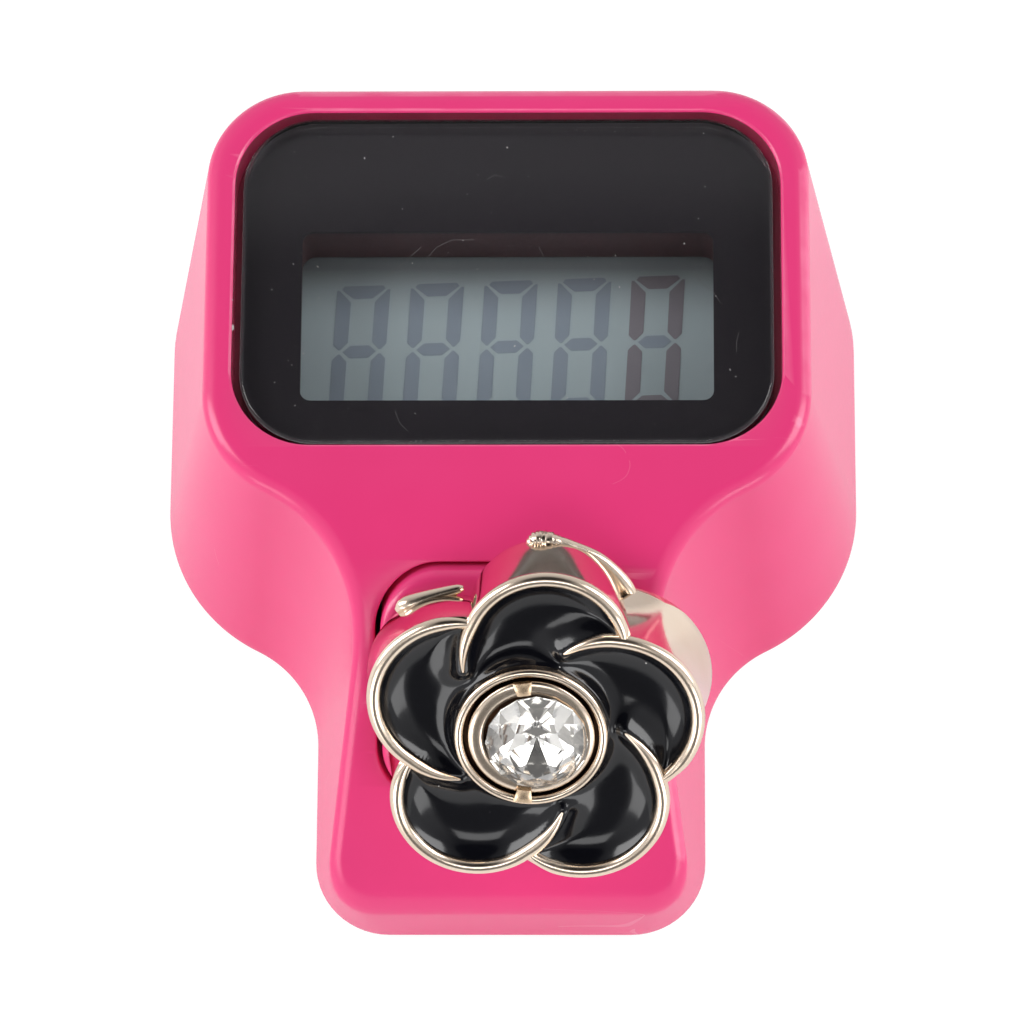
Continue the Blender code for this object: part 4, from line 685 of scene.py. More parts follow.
LENS_EDGE = 0.00016
LENS_EDGE_STEPS = 5
DUST_COUNT = 70
DUST_LEAST = 0.000012
DUST_MOST = 0.000040
DUST_SIZE_POWER = 3
DUST_SPAN_X = (-0.46, 0.46)
DUST_SPAN_Y = (0.06, 0.94)
DUST_SEED = 11
FLAKE_STRETCH = (0.5, 1.6)
FLAKE_HEIGHT = 0.5
FLAKE_RAGGED = (0.7, 1.2)
FLAKE_DEGREES = 60.0
LENS_DEGREES = 40.0
LENS_TINT = (0.95, 0.95, 0.96)
LENS_IOR = 1.49
LENS_ROUGHNESS = 0.015
CLEAR_GRAIN = 300.0
CLEAR_SHADE = 0.97
CLEAR_BUMP = 0.02
CLEAR_BUMP_DEPTH = 0.00001


def mix_shaders(tree, factor, *shaders):
    node = add(tree, 'MixShader', Fac=factor)
    for socket, shader in zip(node.inputs[1:], shaders):
        tree.links.new(shader, socket)
    return node.outputs["Shader"]


def clear_material(name, tint, index, roughness):
    """Clear plastic or glass that also lets the lamps' light through to what lies behind."""
    material, tree, shader = new_shader(name)
    grain = place_group(tree, MOULDED_GRAIN, Scale=CLEAR_GRAIN, Low=roughness, High=roughness * 2)
    shade = tuple(part * CLEAR_SHADE for part in tint)
    put(tree, shader, Base_Color=mix_colours(tree, grain["Shade"], tint, shade),
        Roughness=grain["Roughness"], Transmission_Weight=1.0, IOR=index,
        Normal=bump(tree, grain["Height"], CLEAR_BUMP, CLEAR_BUMP_DEPTH))
    through = add(tree, 'BsdfTransparent', Color=tint).outputs["BSDF"]
    shadow = add(tree, 'LightPath').outputs["Is Shadow Ray"]
    mixed = mix_shaders(tree, shadow, shader.outputs["BSDF"], through)
    put(tree, tree.nodes["Material Output"], Surface=mixed)
    return material


def lens_half(inset):
    return recess_half(LENS_SIDE_GAP + inset, LENS_END_GAP + inset)


lens_rings = [at_level(lens_half(LENS_EDGE / 2), LENS_BOTTOM),
              at_level(lens_half(0), LENS_BOTTOM + LENS_EDGE / 2)]
for inset, drop in quarter(LENS_EDGE_STEPS):
    lens_rings.append(at_level(lens_half(LENS_EDGE * inset), LENS_TOP - LENS_EDGE * drop))
lens = make("window_lens", paired_loft(lens_rings), sharp_degrees=LENS_DEGREES)
level_shading(lens)
paint(lens, clear_material("clear_acrylic", LENS_TINT, LENS_IOR, LENS_ROUGHNESS))
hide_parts("display_lens")
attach(lens, "case")

dress("lens_mask", surface("printed_black", (0.0030, 0.0012, 0.0034), (0.0040, 0.0018, 0.0044),
                           low=0.35, high=0.5, scale=500.0))


def flake(bm, place, size, draw):
    """One speck: a small flat stone with uneven corners."""
    made = bmesh.ops.create_icosphere(bm, subdivisions=1, radius=size)
    stretch = draw.uniform(*FLAKE_STRETCH)
    turn = Matrix.Rotation(draw.uniform(0, pi), 3, 'Z')
    for vertex in made["verts"]:
        x, y, z = vertex.co
        spot = turn @ Vector((x * stretch, y / stretch, z * FLAKE_HEIGHT))
        vertex.co = Vector(place) + spot * draw.uniform(*FLAKE_RAGGED)


def fibre(bm, route, thickness):
    """A hair-thin fibre lying along a route on the window's face."""
    points = [Vector(point) for point in route]
    rows = []
    for i, point in enumerate(points):
        along = (points[min(i + 1, len(points) - 1)] - points[max(i - 1, 0)]).normalized()
        across = Vector((-along.y, along.x)) * thickness
        rows.append([bm.verts.new((*(point + across), LENS_TOP)),
                     bm.verts.new((*point, LENS_TOP + thickness)),
                     bm.verts.new((*(point - across), LENS_TOP))])
    for first, second in zip(rows, rows[1:]):
        for k in range(3):
            bm.faces.new((first[k], first[(k + 1) % 3], second[(k + 1) % 3], second[k]))
    bm.faces.new(rows[0])
    bm.faces.new(rows[-1])


FIBRES = (((-0.0046, 0.0072), (-0.0040, 0.0077), (-0.0033, 0.0084)),
          ((-0.0031, 0.0079), (-0.0027, 0.0084), (-0.0021, 0.0087), (-0.0013, 0.0087)),
          ((-0.0008, 0.0112), (-0.0005, 0.0114), (-0.0002, 0.0113)),
          ((0.0012, 0.0084), (0.0014, 0.0080)),
          ((0.0072, 0.0073), (0.0074, 0.0069), (0.0078, 0.0066), (0.0081, 0.0061)),
          ((0.0088, 0.0049), (0.0087, 0.0045), (0.0087, 0.0041)),
          ((-0.0042, 0.0017), (-0.0040, 0.0012), (-0.0037, 0.0009)))
FIBRE_THICKNESS = 0.000006
GLUE_SPECKS = ((-0.01052, 0.00508, 0.00020), (-0.01050, 0.00618, 0.00009))

draw = Random(DUST_SEED)
dust_mesh = bmesh.new()
for x, y, size in GLUE_SPECKS:
    flake(dust_mesh, (x, y, CASE_HEIGHT - size), size, draw)
for _ in range(DUST_COUNT):
    spot = (draw.uniform(*DUST_SPAN_X) * RECESS_WIDTH,
            RECESS_LOW_Y + draw.uniform(*DUST_SPAN_Y) * RECESS_LENGTH, LENS_TOP)
    size = DUST_LEAST + (DUST_MOST - DUST_LEAST) * draw.random() ** DUST_SIZE_POWER
    flake(dust_mesh, spot, size, draw)
window_dust = make("window_dust", dust_mesh, sharp_degrees=FLAKE_DEGREES)
paint(window_dust, surface("pale_dust", (0.55, 0.53, 0.52), (0.35, 0.34, 0.33), low=0.7, high=0.9,
                           scale=4000.0))
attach(window_dust, "case")

fibre_mesh = bmesh.new()
for route in FIBRES:
    fibre(fibre_mesh, route, FIBRE_THICKNESS)
window_fibres = make("window_fibres", fibre_mesh, sharp_degrees=FLAKE_DEGREES)
paint(window_fibres, surface("grey_fibre", (0.20, 0.19, 0.19), (0.08, 0.08, 0.08), low=0.7,
                             high=0.9, scale=2500.0))
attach(window_fibres, "case")


# Display
# A liquid-crystal cell lies on a white moulded frame: two glasses, a grey-green polariser in
# front and a reflector behind. Five seven-segment digits show through; the last one is driven.

DISPLAY_TURN = radians(1.4)
DIGIT_TURN = radians(0.6)
DIGIT_SLANT_SHARE = 0.09
DISPLAY_Y_SHARE = 0.42
DISPLAY_Y = RECESS_LOW_Y + RECESS_LENGTH * DISPLAY_Y_SHARE
DIGIT_COUNT = 5
DIGIT_PITCH = 0.00285
DIGIT_WIDTH = 0.00228
DIGIT_HEIGHT = 0.0057
DIGIT_MIDDLE_Y = 0.00588
DIGIT_LEFT_X = -0.00577
STROKE = 0.00062
STROKE_GAP = 0.00009
STROKE_END = 0.00022
SEGMENT_THICKNESS = 0.00001
POLARISER_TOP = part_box("lcd_front_polariser")[1][2]
SHADE_FROM = 0.0026
SHADE_TO = 0.00025
SHADE_DEEP = (0.030, 0.022, 0.022)
SHADE_POWER = 1.6
SHADE_STRENGTH = 0.70
SEGMENT_DEGREES = 20.0
GLASS_TINT = (0.84, 0.89, 0.88)
GLASS_IOR = 1.52
GLASS_ROUGHNESS = 0.01
CRYSTAL_FINISHES = (
    ("driven_crystal", (0.175, 0.163, 0.178), (0.195, 0.183, 0.198), 0.4, 0.55, 900.0),
    ("resting_crystal", (0.196, 0.237, 0.277), (0.222, 0.263, 0.303), 0.4, 0.55, 900.0))


def along_axis(tree, axis, space="Object"):
    return add(tree, 'SeparateXYZ', Vector=place_of(tree, space)).outputs[axis]


def map_range(tree, value, limits, interpolation='LINEAR'):
    """Spread a value from one range over another; limits is the first range, then the second."""
    node = add(tree, 'MapRange', Value=value)
    node.interpolation_type = interpolation
    for label, limit in zip(("From Min", "From Max", "To Min", "To Max"), limits):
        node.inputs[label].default_value = limit
    return node.outputs["Result"]


def shade_far_edge(material, item):
    """Dim a display material towards the window's far side, which hides it from the light."""
    tree = material.node_tree
    inverse = item.matrix_world.inverted()
    limits = [(inverse @ Vector((0, WINDOW_HIGH_Y - reach, 0))).y for reach in (SHADE_FROM, SHADE_TO)]
    depth = calculate(tree, 'POWER', map_range(tree, along_axis(tree, "Y"), limits), SHADE_POWER)
    coat(material, calculate(tree, 'MULTIPLY', depth, SHADE_STRENGTH), SHADE_DEEP)


def bar(length, width):
    """A segment's outline lying along X, with pointed ends."""
    half, side = length / 2, width / 2
    return [(-half, 0), (-half + side, side), (half - side, side), (half, 0), (half - side, -side),
            (-half + side, -side)]


def end_bar(length, width):
    """The top or bottom segment's outline: its outer side is the longer one."""
    half, side = length / 2, width / 2
    return [(-half + STROKE_END, side), (half - STROKE_END, side), (half - STROKE_END / 2, side / 2),
            (half - width, -side), (-half + width, -side), (-half + STROKE_END / 2, side / 2)]


def side_bar(length, width):
    """A side segment's outline, its far end cut for the end bar and its near end pointed."""
    half, side = length / 2, width / 2
    return [(-half + STROKE_END / 2, side), (-half + STROKE_END / 2, side - STROKE_END / 2),
            (-half + width, -side), (half - side, -side), (half, 0), (half, side - STROKE_END),
            (half - STROKE_END, side)]


def digit_segments(centre_x):
    """The seven segments of a digit as outlines: top, upper left and right, middle, lower."""
    across = DIGIT_WIDTH - 2 * STROKE_GAP
    high = DIGIT_HEIGHT / 2 - STROKE_GAP
    shapes = {}
    side = side_bar(high, STROKE)
    out = across / 2 - STROKE / 2
    upright = [(y, -x) for x, y in side]
    placed = (("top", end_bar(across, STROKE), (1, 1), (0, high * 2 - STROKE / 2)),
              ("bottom", end_bar(across, STROKE), (1, -1), (0, STROKE / 2)),
              ("middle", bar(across - STROKE, STROKE), (1, 1), (0, high)),
              ("upper_left", upright, (-1, 1), (-out, high * 1.5)),
              ("lower_left", upright, (-1, -1), (-out, high * 0.5)),
              ("upper_right", upright, (1, 1), (out, high * 1.5)),
              ("lower_right", upright, (1, -1), (out, high * 0.5)))
    for label, outline, (flip_x, flip_y), place in placed:
        inner = [shrink(point, outline) for point in outline]
        corners = [(place[0] + x * flip_x, place[1] + y * flip_y - DIGIT_HEIGHT / 2)
                   for x, y in inner]
        shapes[label] = [(centre_x + x + y * DIGIT_SLANT_SHARE, DIGIT_MIDDLE_Y + y)
                         for x, y in corners]
    return shapes


def shrink(point, outline):
    """A corner drawn in a little towards the outline's middle, so that segments part."""
    middle = sum((Vector(corner) for corner in outline), Vector((0, 0))) / len(outline)
    corner = Vector(point)
    reach = (corner - middle).length
    return corner + (middle - corner) * (STROKE_GAP / reach)


def segment_plate(bm, outline):
    """A thin plate of the outline on the display's face, turned as the display lies."""
    low = POLARISER_TOP + SEGMENT_THICKNESS / 2
    turn = Matrix.Rotation(DISPLAY_TURN + DIGIT_TURN, 2)
    spun = [turn @ (Vector((x, y - DISPLAY_Y))) + Vector((0, DISPLAY_Y)) for x, y in outline]
    rows = [[bm.verts.new((x, y, z)) for x, y in spun] for z in (low, low + SEGMENT_THICKNESS)]
    bm.faces.new(rows[0])
    bm.faces.new(rows[1])
    for i in range(len(spun)):
        k = (i + 1) % len(spun)
        bm.faces.new((rows[0][i], rows[0][k], rows[1][k], rows[1][i]))


lit, unlit = bmesh.new(), bmesh.new()
for number in range(DIGIT_COUNT):
    shapes = digit_segments(DIGIT_LEFT_X + number * DIGIT_PITCH)
    for label, outline in shapes.items():
        driven = number == DIGIT_COUNT - 1 and label != "middle"
        segment_plate(lit if driven else unlit, outline)
for name, bm, finish in zip(("digit_segments_driven", "digit_segments_resting"), (lit, unlit),
                            CRYSTAL_FINISHES):
    digits = make(name, bm, sharp_degrees=SEGMENT_DEGREES)
    crystal = surface(*finish)
    paint(digits, crystal)
    shade_far_edge(crystal, digits)
    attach(digits, "case")
display_film = surface("grey_green_film", (0.305, 0.375, 0.378), (0.340, 0.400, 0.410), low=0.38,
                       high=0.52, scale=260.0)
dress("lcd_front_polariser", display_film)
shade_far_edge(display_film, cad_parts["lcd_front_polariser"])
dress("lcd_reflector", surface("brushed_foil", (0.52, 0.54, 0.53), (0.60, 0.62, 0.61), low=0.35,
                               high=0.5, scale=1200.0, metallic=1.0))
for node in ("lcd_front_glass", "lcd_rear_glass"):
    dress(node, clear_material(node + "_clear", GLASS_TINT, GLASS_IOR, GLASS_ROUGHNESS))
dress("lcd_frame", surface("white_frame_plastic", (0.80, 0.79, 0.76), (0.74, 0.73, 0.70), low=0.35,
                           high=0.48, scale=700.0))
for node in ("zebra_strip_lower", "zebra_strip_upper"):
    dress(node, surface(node + "_rubber", (0.30, 0.29, 0.27), (0.08, 0.08, 0.08), low=0.6, high=0.8,
                        scale=2500.0, bump_depth=0.00002))


# Main board, cell and what they carry
# Inside the case: a green circuit board on two screws, the resin drop over the chip, a small
# resistor and capacitor, the steel button cell between its two spring contacts.

# Each row starts with the node that takes the finish.
BOARD_FINISHES = (
    ("main_board", "board_green_mask", (0.016, 0.150, 0.062), (0.026, 0.190, 0.085), 0.3, 0.45,
     1800.0, 0.0, 0.00002),
    ("chip_resin", "chip_resin_black", (0.012, 0.012, 0.014), (0.022, 0.021, 0.022), 0.22, 0.4,
     900.0),
    ("supply_capacitor", "capacitor_ceramic", (0.42, 0.28, 0.15), (0.52, 0.37, 0.22), 0.45, 0.6,
     3000.0),
    ("timing_resistor", "resistor_coat", (0.018, 0.018, 0.018), (0.05, 0.05, 0.05), 0.4, 0.55,
     3000.0))

for node, *finish in BOARD_FINISHES:
    dress(node, surface(*finish))
for number in (1, 2):
    dress("board_screw_%d" % number, SCREW_STEEL)
CELL_STEEL = surface("cell_steel", (0.70, 0.69, 0.67), (0.60, 0.59, 0.57), low=0.18, high=0.34,
                     scale=1400.0, metallic=1.0, wear=(0.86, 0.85, 0.83))
for node in ("coin_cell", "cell_contact_minus", "cell_contact_plus"):
    dress(node, CELL_STEEL)


# Count key
# The pink key top follows the case's bend and stands a little proud of it. Under it are the rubber
# dome, drawn at rest, with its carbon pill, and the small contact board with its two wires.

KEY_PROUD = 0.0003
KEY_FILLET = 0.0003
FLANGE_REACH = 0.0006
FLANGE_CORNER = 0.0016
FLANGE_BOTTOM = 0.0044
FLANGE_TOP = -ROOF - KEY_GAP
KEY_WALL = 0.0010
STEM_RADIUS = 0.0013
STEM_LENGTH = 0.0003
STEM_BOTTOM = -FLANGE_BOTTOM - STEM_LENGTH
DOME_HEIGHT = 0.0014
DOME_ROOF = 0.0005
DOME_FOOT_HEIGHT = 0.0003
DOME_TOP = STEM_BOTTOM - FILM_GAP
DOME_BOTTOM = DOME_TOP - DOME_HEIGHT
DOME_FOOT = DOME_BOTTOM + DOME_FOOT_HEIGHT
DOME_SHOULDER = DOME_TOP - DOME_ROOF / 2
DOME_CEILING = DOME_TOP - DOME_ROOF
DOME_PROFILE = ((0.0010, DOME_CEILING), (0.0024, DOME_BOTTOM), (0.0031, DOME_BOTTOM),
                (0.0031, DOME_FOOT), (0.0028, DOME_FOOT), (0.0014, DOME_SHOULDER),
                (0.0012, DOME_TOP))
DOME_STEPS = 48
# Each row starts with the node that takes the finish.
KEY_FINISHES = (
    ("contact_pill", "pill_carbon", (0.015, 0.015, 0.015), (0.03, 0.03, 0.03), 0.7, 0.9, 3000.0),
    ("key_board", "key_board_mask", (0.016, 0.150, 0.062), (0.026, 0.190, 0.085), 0.3, 0.45, 1800.0),
    ("key_wire_left", "wire_black", (0.018, 0.018, 0.018), (0.03, 0.03, 0.03), 0.4, 0.55, 2000.0),
    ("key_wire_right", "wire_red", (0.55, 0.018, 0.016), (0.62, 0.03, 0.025), 0.4, 0.55, 2000.0))


def ring_mesh(rings, closed=False):
    """Skin a stack of whole rings; a stack that isn't closed gets a face at either end."""
    bm = bmesh.new()
    rows = [[bm.verts.new(point) for point in ring] for ring in rings]
    count = len(rows[0])
    pairs = list(zip(rows, rows[1:]))
    if closed:
        pairs.append((rows[-1], rows[0]))
    for lower, upper in pairs:
        for i in range(count):
            k = (i + 1) % count
            bm.faces.new((lower[i], lower[k], upper[k], upper[i]))
    if not closed:
        for row in (rows[0], rows[-1]):
            middle = bm.verts.new(sum((v.co for v in row), Vector()) / count)
            for i in range(count):
                bm.faces.new((row[i], row[(i + 1) % count], middle))
    bmesh.ops.recalc_face_normals(bm, faces=bm.faces)
    return bm


def circle(radius, steps, middle=Vector((0, 0))):
    angles = [2 * pi * i / steps for i in range(steps)]
    return [(radius * cos(angle) + middle.x, radius * sin(angle) + middle.y) for angle in angles]


def turned(profile, steps):
    """Turn a profile of (radius, height) points round Z; each end is closed by a disc."""
    return ring_mesh([at_level(circle(radius, steps), z) for radius, z in profile])


key_rings = [at_level(key_half(0), -FLANGE_BOTTOM + KEY_FILLET)]
for inset, drop in quarter(FILLET_STEPS):
    key_rings.append(key_surface(key_half(-KEY_FILLET * inset), KEY_PROUD, KEY_FILLET * drop))
key = make("pink_count_key", paired_loft(key_rings), KEY_MATRIX)
flange_half = key_half(FLANGE_REACH, 0, FLANGE_CORNER)
flange = paired_loft([at_level(flange_half, -FLANGE_BOTTOM), key_surface(flange_half, FLANGE_TOP)])
combine(key, 'UNION', make("flange", flange, KEY_MATRIX))
pocket_half = key_half(-KEY_WALL)
pocket = paired_loft([at_level(pocket_half, STEM_BOTTOM), key_surface(pocket_half, -KEY_WALL)])
combine(key, 'DIFFERENCE', make("pocket", pocket, KEY_MATRIX))
stem = rods([(0, 0)], STEM_RADIUS, STEM_BOTTOM, -KEY_WALL)
combine(key, 'UNION', make("stem", stem, KEY_MATRIX), sharp_degrees=MOULDED_DEGREES)
level_shading(key)
paint(key, pink_plastic("pink_key_plastic"))
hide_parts("count_button")
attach(key, "count_key")

dome = make("rubber_dome", turned(DOME_PROFILE, DOME_STEPS), KEY_MATRIX)
paint(dome, surface("dome_silicone", (0.62, 0.62, 0.60), (0.55, 0.55, 0.53), low=0.5, high=0.65,
                    scale=900.0))
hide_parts("count_dome")
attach(dome, "case")
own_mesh(dome)
for node, *finish in KEY_FINISHES:
    dress(node, surface(*finish))


# Flower
# A casting plated in pale gold and glued on the key: a scalloped dish with a flared wall and a
# rounded foot. Each petal's rim is a polished bead that ends in a point curled over its
# neighbour, and black enamel fills the hollows between the rims.

FLOWER_X = 0.00115
FLOWER_SHARE = 0.2745
FLOWER_V = -SLOPE_LENGTH * FLOWER_SHARE
FLOWER_BASE = 0.0006
PETAL_TOP = 0.0043
PETAL_DEPTH = 0.0016
PETAL_FLOOR = PETAL_TOP - PETAL_DEPTH
PETALS = ((0.00044, 0.00350, 0.00290), (-0.00275, 0.00145, 0.00318), (-0.00218, -0.00272, 0.00297),
          (0.00170, -0.00284, 0.00302), (0.00281, 0.00066, 0.00320))
PETAL_FLARES = (-0.00030, -0.00015, 0.00020, 0.00010, 0.00032)
PETAL_LEANS = ((0, 0), (-0.00030, -0.00070), (0, 0), (0, 0), (0, 0))
PETAL_STEPS = 44
RIM_HALF = 0.000275
FOOT_EDGE = 0.00010
RIM_SIDE_SHARE = 0.9
WALL_WAIST = 0.00006
WALL_STEPS = 14
FOOT_STEPS = 4
RIM_STEPS = 16
RIM_SIDES = 20
RIM_START_SHARE = 0.30
RIM_TIP_SHARE = 0.12
RIM_TIP_DROP = 0.00016
RIM_TIP_POWER = 0.7
RIM_CURL_SHARES = (0.25, 0.5, 0.75, 1.0)
RIM_CURVE_STEPS = 5
RIM_START_LENGTH = 0.0012
RIM_TIP_LENGTH = 0.0016
RIM_TIPS = ((-0.00263, 0.00260), (-0.00278, -0.00192), (0.00100, -0.00332), (0.00332, 0.00004),
            (0.00108, 0.00335))
DISH_DEGREES = 50.0
BEAD_DEGREES = 60.0
FLOWER_MATRIX = KEY_MATRIX @ Matrix.Translation((FLOWER_X, FLOWER_V - KEY_CENTRE_V, 0))


def turn_of(point):
    return atan2(point.y, point.x)


def polar(radius, angle):
    return Vector((radius * cos(angle), radius * sin(angle)))


def petal_circle(number, spread, flare_share):
    """The middle and radius of a petal's outline, spread and flared towards the foot."""
    x, y, radius = PETALS[number]
    middle = Vector((x, y)) + Vector(PETAL_LEANS[number]) * flare_share
    return middle, radius + spread + PETAL_FLARES[number] * flare_share


def notch(number, spread, flare_share):
    """Where a petal's outline meets the next one's, counted the way the petals turn."""
    first, reach = petal_circle(number, spread, flare_share)
    second, next_reach = petal_circle((number + 1) % len(PETALS), spread, flare_share)
    apart = (second - first).length
    along = (apart ** 2 + reach ** 2 - next_reach ** 2) / (2 * apart)
    aside = sqrt(max(reach ** 2 - along ** 2, 0))
    line = (second - first) / apart
    foot = first + line * along
    across = Vector((-line.y, line.x)) * aside
    return max((foot + across, foot - across), key=lambda point: point.length)


def petal_arc(number, spread, steps, flare_share=0.0):
    """A petal's outer arc from its first notch to its last, as points."""
    middle, radius = petal_circle(number, spread, flare_share)
    start = turn_of(notch((number - 1) % len(PETALS), spread, flare_share) - middle)
    end = turn_of(notch(number, spread, flare_share) - middle)
    if end < start:
        end += 2 * pi
    return [middle + polar(radius, start + (end - start) * i / steps) for i in range(steps + 1)]


def petal_ring(spread, steps=PETAL_STEPS, flare_share=0.0):
    """The flower's scalloped outline, spread beyond the rims' middle lines."""
    ring = []
    for number in range(len(PETALS)):
        ring += petal_arc(number, spread, steps, flare_share)[:-1]
    return ring


def dish_profile():
    """Spread, height and flare down the wall: from the floor over the shoulder to the foot."""
    shoulder = PETAL_TOP - RIM_HALF
    side = RIM_HALF * RIM_SIDE_SHARE
    profile = [(-side, PETAL_FLOOR, 0), (-side, shoulder, 0), (0, PETAL_TOP - RIM_HALF / 2, 0),
               (side, shoulder, 0)]
    for i in range(1, WALL_STEPS + 1):
        share = i / WALL_STEPS
        level = shoulder + (FLOWER_BASE + FOOT_EDGE - shoulder) * share
        profile.append((side - WALL_WAIST * sin(pi * share), level, share * share))
    foot = list(quarter(FOOT_STEPS))[1:]
    return profile + [(side - FOOT_EDGE * inset, FLOWER_BASE + FOOT_EDGE * rise, 1)
                      for inset, rise in foot]


def smooth_points(points, steps):
    """Points on a smooth (Catmull-Rom) curve through a route's own points."""
    route = [2 * points[0] - points[1]] + points + [2 * points[-1] - points[-2]]
    line = []
    for a, b, c, d in zip(route, route[1:], route[2:], route[3:]):
        for i in range(steps):
            t = i / steps
            line.append(0.5 * (2 * b + (c - a) * t + (2 * a - 5 * b + 4 * c - d) * t ** 2
                               + (3 * b - a - 3 * c + d) * t ** 3))
    line.append(route[-2])
    return line


def rim_path(number):
    """The middle line of one petal's rim, from its start in the notch to its curled tip."""
    arc_points = petal_arc(number, 0, RIM_STEPS)
    tip = Vector(RIM_TIPS[number])
    leave = arc_points[-1]
    heading = (arc_points[-1] - arc_points[-2]).normalized()
    span = (tip - leave).length
    bend = leave + heading * span / 2
    curl = []
    for share in RIM_CURL_SHARES:
        rest = 1 - share
        curl.append(leave * rest * rest + bend * 2 * rest * share + tip * share * share)
    return smooth_points(arc_points + curl, RIM_CURVE_STEPS)


def route_lengths(path):
    lengths = [0.0]
    for a, b in zip(path, path[1:]):
        lengths.append(lengths[-1] + (b - a).length)
    return lengths


def swept_bead(path, sizes, heights):
    """A round bead along a flat path, with its half thickness and middle height at each point."""
    last = len(path) - 1
    rings = []
    for i, (point, size, height) in enumerate(zip(path, sizes, heights)):
        along = (path[min(i + 1, last)] - path[max(i - 1, 0)]).normalized()
        across = Vector((-along.y, along.x))
        rings.append([(*(point + across * aside), height + lift)
                      for aside, lift in circle(size, RIM_SIDES)])
    return ring_mesh(rings)


def petal_rim(number):
    """One rim, thin at its start and at its curled tip, where it dips into the enamel."""
    path = rim_path(number)
    lengths = route_lengths(path)
    sizes, heights = [], []
    for length in lengths:
        start_share = sqrt(min(length / RIM_START_LENGTH, 1))
        tip_share = min((lengths[-1] - length) / RIM_TIP_LENGTH, 1)
        size = RIM_HALF * (RIM_START_SHARE + (1 - RIM_START_SHARE) * start_share)
        size *= RIM_TIP_SHARE + (1 - RIM_TIP_SHARE) * tip_share ** RIM_TIP_POWER
        sizes.append(size)
        drop = RIM_TIP_DROP * (1 - tip_share) ** 2 + RIM_HALF * (1 - start_share) / 2
        heights.append(PETAL_TOP - size - drop)
    return swept_bead(path, sizes, heights)


gold_cast = surface("pale_gold_cast", (0.90, 0.77, 0.65), (0.80, 0.63, 0.49), low=0.05, high=0.13,
                    scale=600.0, metallic=1.0, bump_strength=0.08)
gold_bead = surface("pale_gold_bead", (0.94, 0.81, 0.67), (0.86, 0.69, 0.53), low=0.15, high=0.25,
                    scale=500.0, metallic=1.0, bump_strength=0.04)

dish_rings = [at_level(petal_ring(spread, flare_share=flare), z)
              for spread, z, flare in dish_profile()]
dish = make("flower_dish", ring_mesh(dish_rings), FLOWER_MATRIX, DISH_DEGREES)
paint(dish, gold_cast)
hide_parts("flower_frame")
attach(dish, "count_key")
for number in range(len(PETALS)):
    rim = make("petal_rim_%d" % (number + 1), petal_rim(number), FLOWER_MATRIX, BEAD_DEGREES)
    paint(rim, gold_bead)
    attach(rim, "count_key")

FOOT_BEADS = ((((-0.00026, 0.00614), (0.00005, 0.00634), (0.00044, 0.00638), (0.00089, 0.00623),
                (0.00140, 0.00606), (0.00245, 0.00555), (0.00329, 0.00457), (0.00373, 0.00356)),
               (0.00018, 0.00034, 0.00033, 0.00029, 0.00026, 0.00024, 0.00029, 0.00024)),
              (((-0.00513, 0.00343), (-0.00486, 0.00366), (-0.00443, 0.00380), (-0.00371, 0.00407),
                (-0.00292, 0.00432), (-0.00266, 0.00438)),
               (0.00016, 0.00033, 0.00036, 0.00028, 0.00020, 0.00010)))
FOOT_BEAD_HEIGHT = 0.00082
FOOT_BEAD_STEPS = 10
LUMP_LENGTH = 0.0012
LUMP_JITTER = 0.000028
LUMP_SEED = 31


def shake(draw):
    return draw.uniform(-LUMP_JITTER, LUMP_JITTER)


for number, (route, widths) in enumerate(FOOT_BEADS):
    draw = Random(LUMP_SEED + number)
    path = smooth_points([Vector(point) for point in route], FOOT_BEAD_STEPS)
    ends = smooth_points([Vector((width, 0)) for width in widths], FOOT_BEAD_STEPS)
    lengths = route_lengths(path)
    sizes = []
    for end, length in zip(ends, lengths):
        rough = max(1 - length / LUMP_LENGTH, 0) if number == 0 else 0
        sizes.append(end.x + shake(draw) * sqrt(rough))
    bead_mesh = swept_bead(path, sizes, [FOOT_BEAD_HEIGHT] * len(path))
    for vertex in bead_mesh.verts:
        if number == 0 and (vertex.co.xy - path[0]).length < LUMP_LENGTH:
            vertex.co += Vector((shake(draw), shake(draw), shake(draw)))
    foot_bead = make("foot_bead_%d" % (number + 1), bead_mesh, FLOWER_MATRIX, BEAD_DEGREES)
    paint(foot_bead, gold_bead)
    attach(foot_bead, "count_key")

CUP_RADIUS = 0.00286
CUP_SHIFT = Vector((-0.00015, 0.00003))
ENAMEL_DROP = 0.00020
ENAMEL_DISH = 0.00075
ENAMEL_ROWS = 30
ENAMEL_PETAL_STEPS = 40
RIM_GRIP_SHARE = 0.6
RIM_HOLLOW_REACH = 0.00050
CUP_HOLLOW_REACH = 0.00025


def distance_to(path, spot):
    """How far a point lies from a path."""
    near = min(range(len(path)), key=lambda i: (path[i] - spot).length_squared)
    first = max(near - 1, 0)
    reaches = []
    for start, end in zip(path[first:near + 1], path[first + 1:near + 2]):
        foot, share = intersect_point_line(spot, start, end)
        foot = start.lerp(end, min(max(share, 0), 1))
        reaches.append((foot - spot).length)
    return min(reaches)


